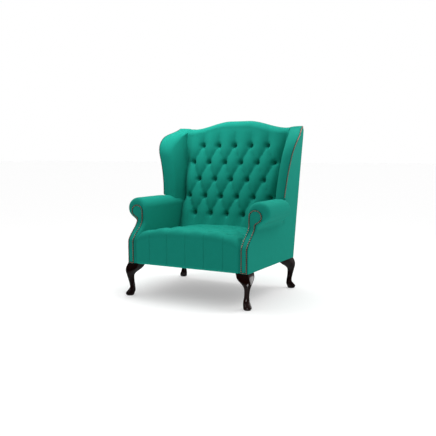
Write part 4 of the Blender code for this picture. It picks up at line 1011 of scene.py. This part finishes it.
# floor, light and camera
studio = {
    "floor": {"stops": ((0.3, "#d4d4d4"), (0.7, "#d9d9d9")), "grainMm": (8.0, 8.0, 8.0),
              "grain": {"Detail": 2.0}},
    "floorGlow": 0.33,   # lit a little, so that its shadow stays light
    # the room's light along some directions: where it begins and ends to change, and its values there
    "slopes": {
        "dome": ((0.0, 0.0, 1.0), -0.1, 1.0, 0.25, 1.45),        # brightest overhead
        "depth": ((0.0, 1.0, 0.0), -1.0, 1.0, 0.50, 1.35),       # and behind
        "flag": ((-0.45, -0.86, -0.22), 0.55, 0.92, 1.0, 0.15),  # a dark flag ahead on the left
        "screen": ((0.46, 0.88, -0.05), 0.88, 0.98, 0.0, 0.6),   # a white screen behind on the right
        "under": ((0.0, 0.0, -1.0), 0.10, 0.55, 0.0, 1.50),      # from below
        "nadir": ((0.0, 0.0, -1.0), 0.62, 0.86, 0.0, 0.9),
        "ahead": ((0.0, -1.0, 0.0), -0.2, 0.6, 0.50, 1.0),       # of that, less behind
    },
    "gloss": 0.12,       # share of the room that polish and metal mirror; the lamps they mirror whole
    # place, aim, size and watts
    "lamps": {
        "overhead_lamp": ((-0.42, 0.0, 1.86), (0.0, 0.1, 0.8), 0.7, 12.0),
        "fill_lamp": ((1.5, 0.75, 2.1), (0.3, 0.1, 0.5), 1.0, 13.0),
        "softbox_lamp": ((-2.2, -2.6, 2.9), (0.0, 0.1, 0.6), 1.2, 4.0),
        "card_reflector": ((0.66, -0.02, 0.13), (0.445, -0.365, 0.17), 0.26, 0.30),   # for the legs alone
        "foot_reflector": ((0.46, -0.60, 0.04), (0.42, -0.40, 0.15), 0.12, 0.16),
    },
    "cameraPlace": (1.899, -3.570, 0.916), "cameraAround": 27.678, "cameraDown": 5.985,
    "lensMm": 50.0, "sensorMm": 36.0,
}


def addFloor():
    bm = bmesh.new()
    bmesh.ops.create_grid(bm, x_segments=4, y_segments=4, size=60.0)
    mesh = bpy.data.meshes.new("studio_floor")
    bm.to_mesh(mesh)
    bm.free()
    mesh.materials.append(makeGrained("matt_floor_paint", {
        "Roughness": 0.9, "Specular IOR Level": 0.1, "Emission Color": linear("#ffffff"),
        "Emission Strength": studio["floorGlow"]}, studio["floor"]))
    ground = addObject("studio_floor", mesh)
    ground.visible_diffuse = ground.visible_glossy = False   # it shows the shadow and throws no light


def addSky():
    world = bpy.data.worlds.new("white_studio")
    world.use_nodes = True
    way = addNode(world, "TexCoord").outputs["Generated"]
    ray = addNode(world, "LightPath").outputs
    mirrored = addNode(world, "MapRange", {"To Min": 1.0, "To Max": studio["gloss"]},
                       {"Value": ray["Is Glossy Ray"]})
    light = {"mirrored": mirrored, "seen": ray["Is Camera Ray"]}
    for name, (direction, start, end, low, high) in studio["slopes"].items():
        along = addNode(world, "VectorMath", {"operation": "DOT_PRODUCT", 1: direction}, {0: way})
        light[name] = addNode(world, "MapRange",
                              {"From Min": start, "From Max": end, "To Min": low, "To Max": high},
                              {"Value": along.outputs["Value"]})
    for name, operation, first, second in (
            ("above", "MULTIPLY", "dome", "depth"), ("above", "MULTIPLY", "above", "flag"),
            ("below", "ADD", "under", "nadir"), ("below", "MULTIPLY", "below", "ahead"),
            ("rest", "ADD", "screen", "below"), ("room", "ADD", "above", "rest"),
            ("room", "MULTIPLY", "room", "mirrored"),
            ("room", "MAXIMUM", "room", "seen")):   # the backdrop itself is white
        light[name] = addNode(world, "Math", {"operation": operation}, {0: light[first], 1: light[second]})
    sky = world.node_tree.nodes["Background"]
    sky.inputs["Color"].default_value = (1.0, 1.0, 1.0, 1.0)
    world.node_tree.links.new(socketOf(light["room"]), sky.inputs["Strength"])
    scene.world = world


def addLamp(name, place, aim, size, watts):
    light = bpy.data.lights.new(name, "AREA")
    light.shape, light.size, light.energy = "DISK", size, watts
    lamp = addObject(name, light)
    lamp.location = place
    lamp.rotation_euler = (Vector(aim) - Vector(place)).to_track_quat("-Z", "Y").to_euler()
    lamp.visible_camera = False
    if name.endswith("reflector"):
        lamp.light_linking.receiver_collection = polished


def addCamera():
    around, down = radians(studio["cameraAround"]), radians(studio["cameraDown"])
    lens = bpy.data.cameras.new("photo_camera")
    lens.lens, lens.sensor_width = studio["lensMm"], studio["sensorMm"]
    camera = addObject("photo_camera", lens)
    camera.location = studio["cameraPlace"]
    ahead = Vector((-sin(around) * cos(down), cos(around) * cos(down), -sin(down)))
    camera.rotation_euler = ahead.to_track_quat("-Z", "Y").to_euler()
    scene.camera = camera


addFloor()
addSky()
for name, setting in studio["lamps"].items():
    addLamp(name, *setting)
addCamera()
scene.view_settings.view_transform = "Standard"
print("studio and camera set")
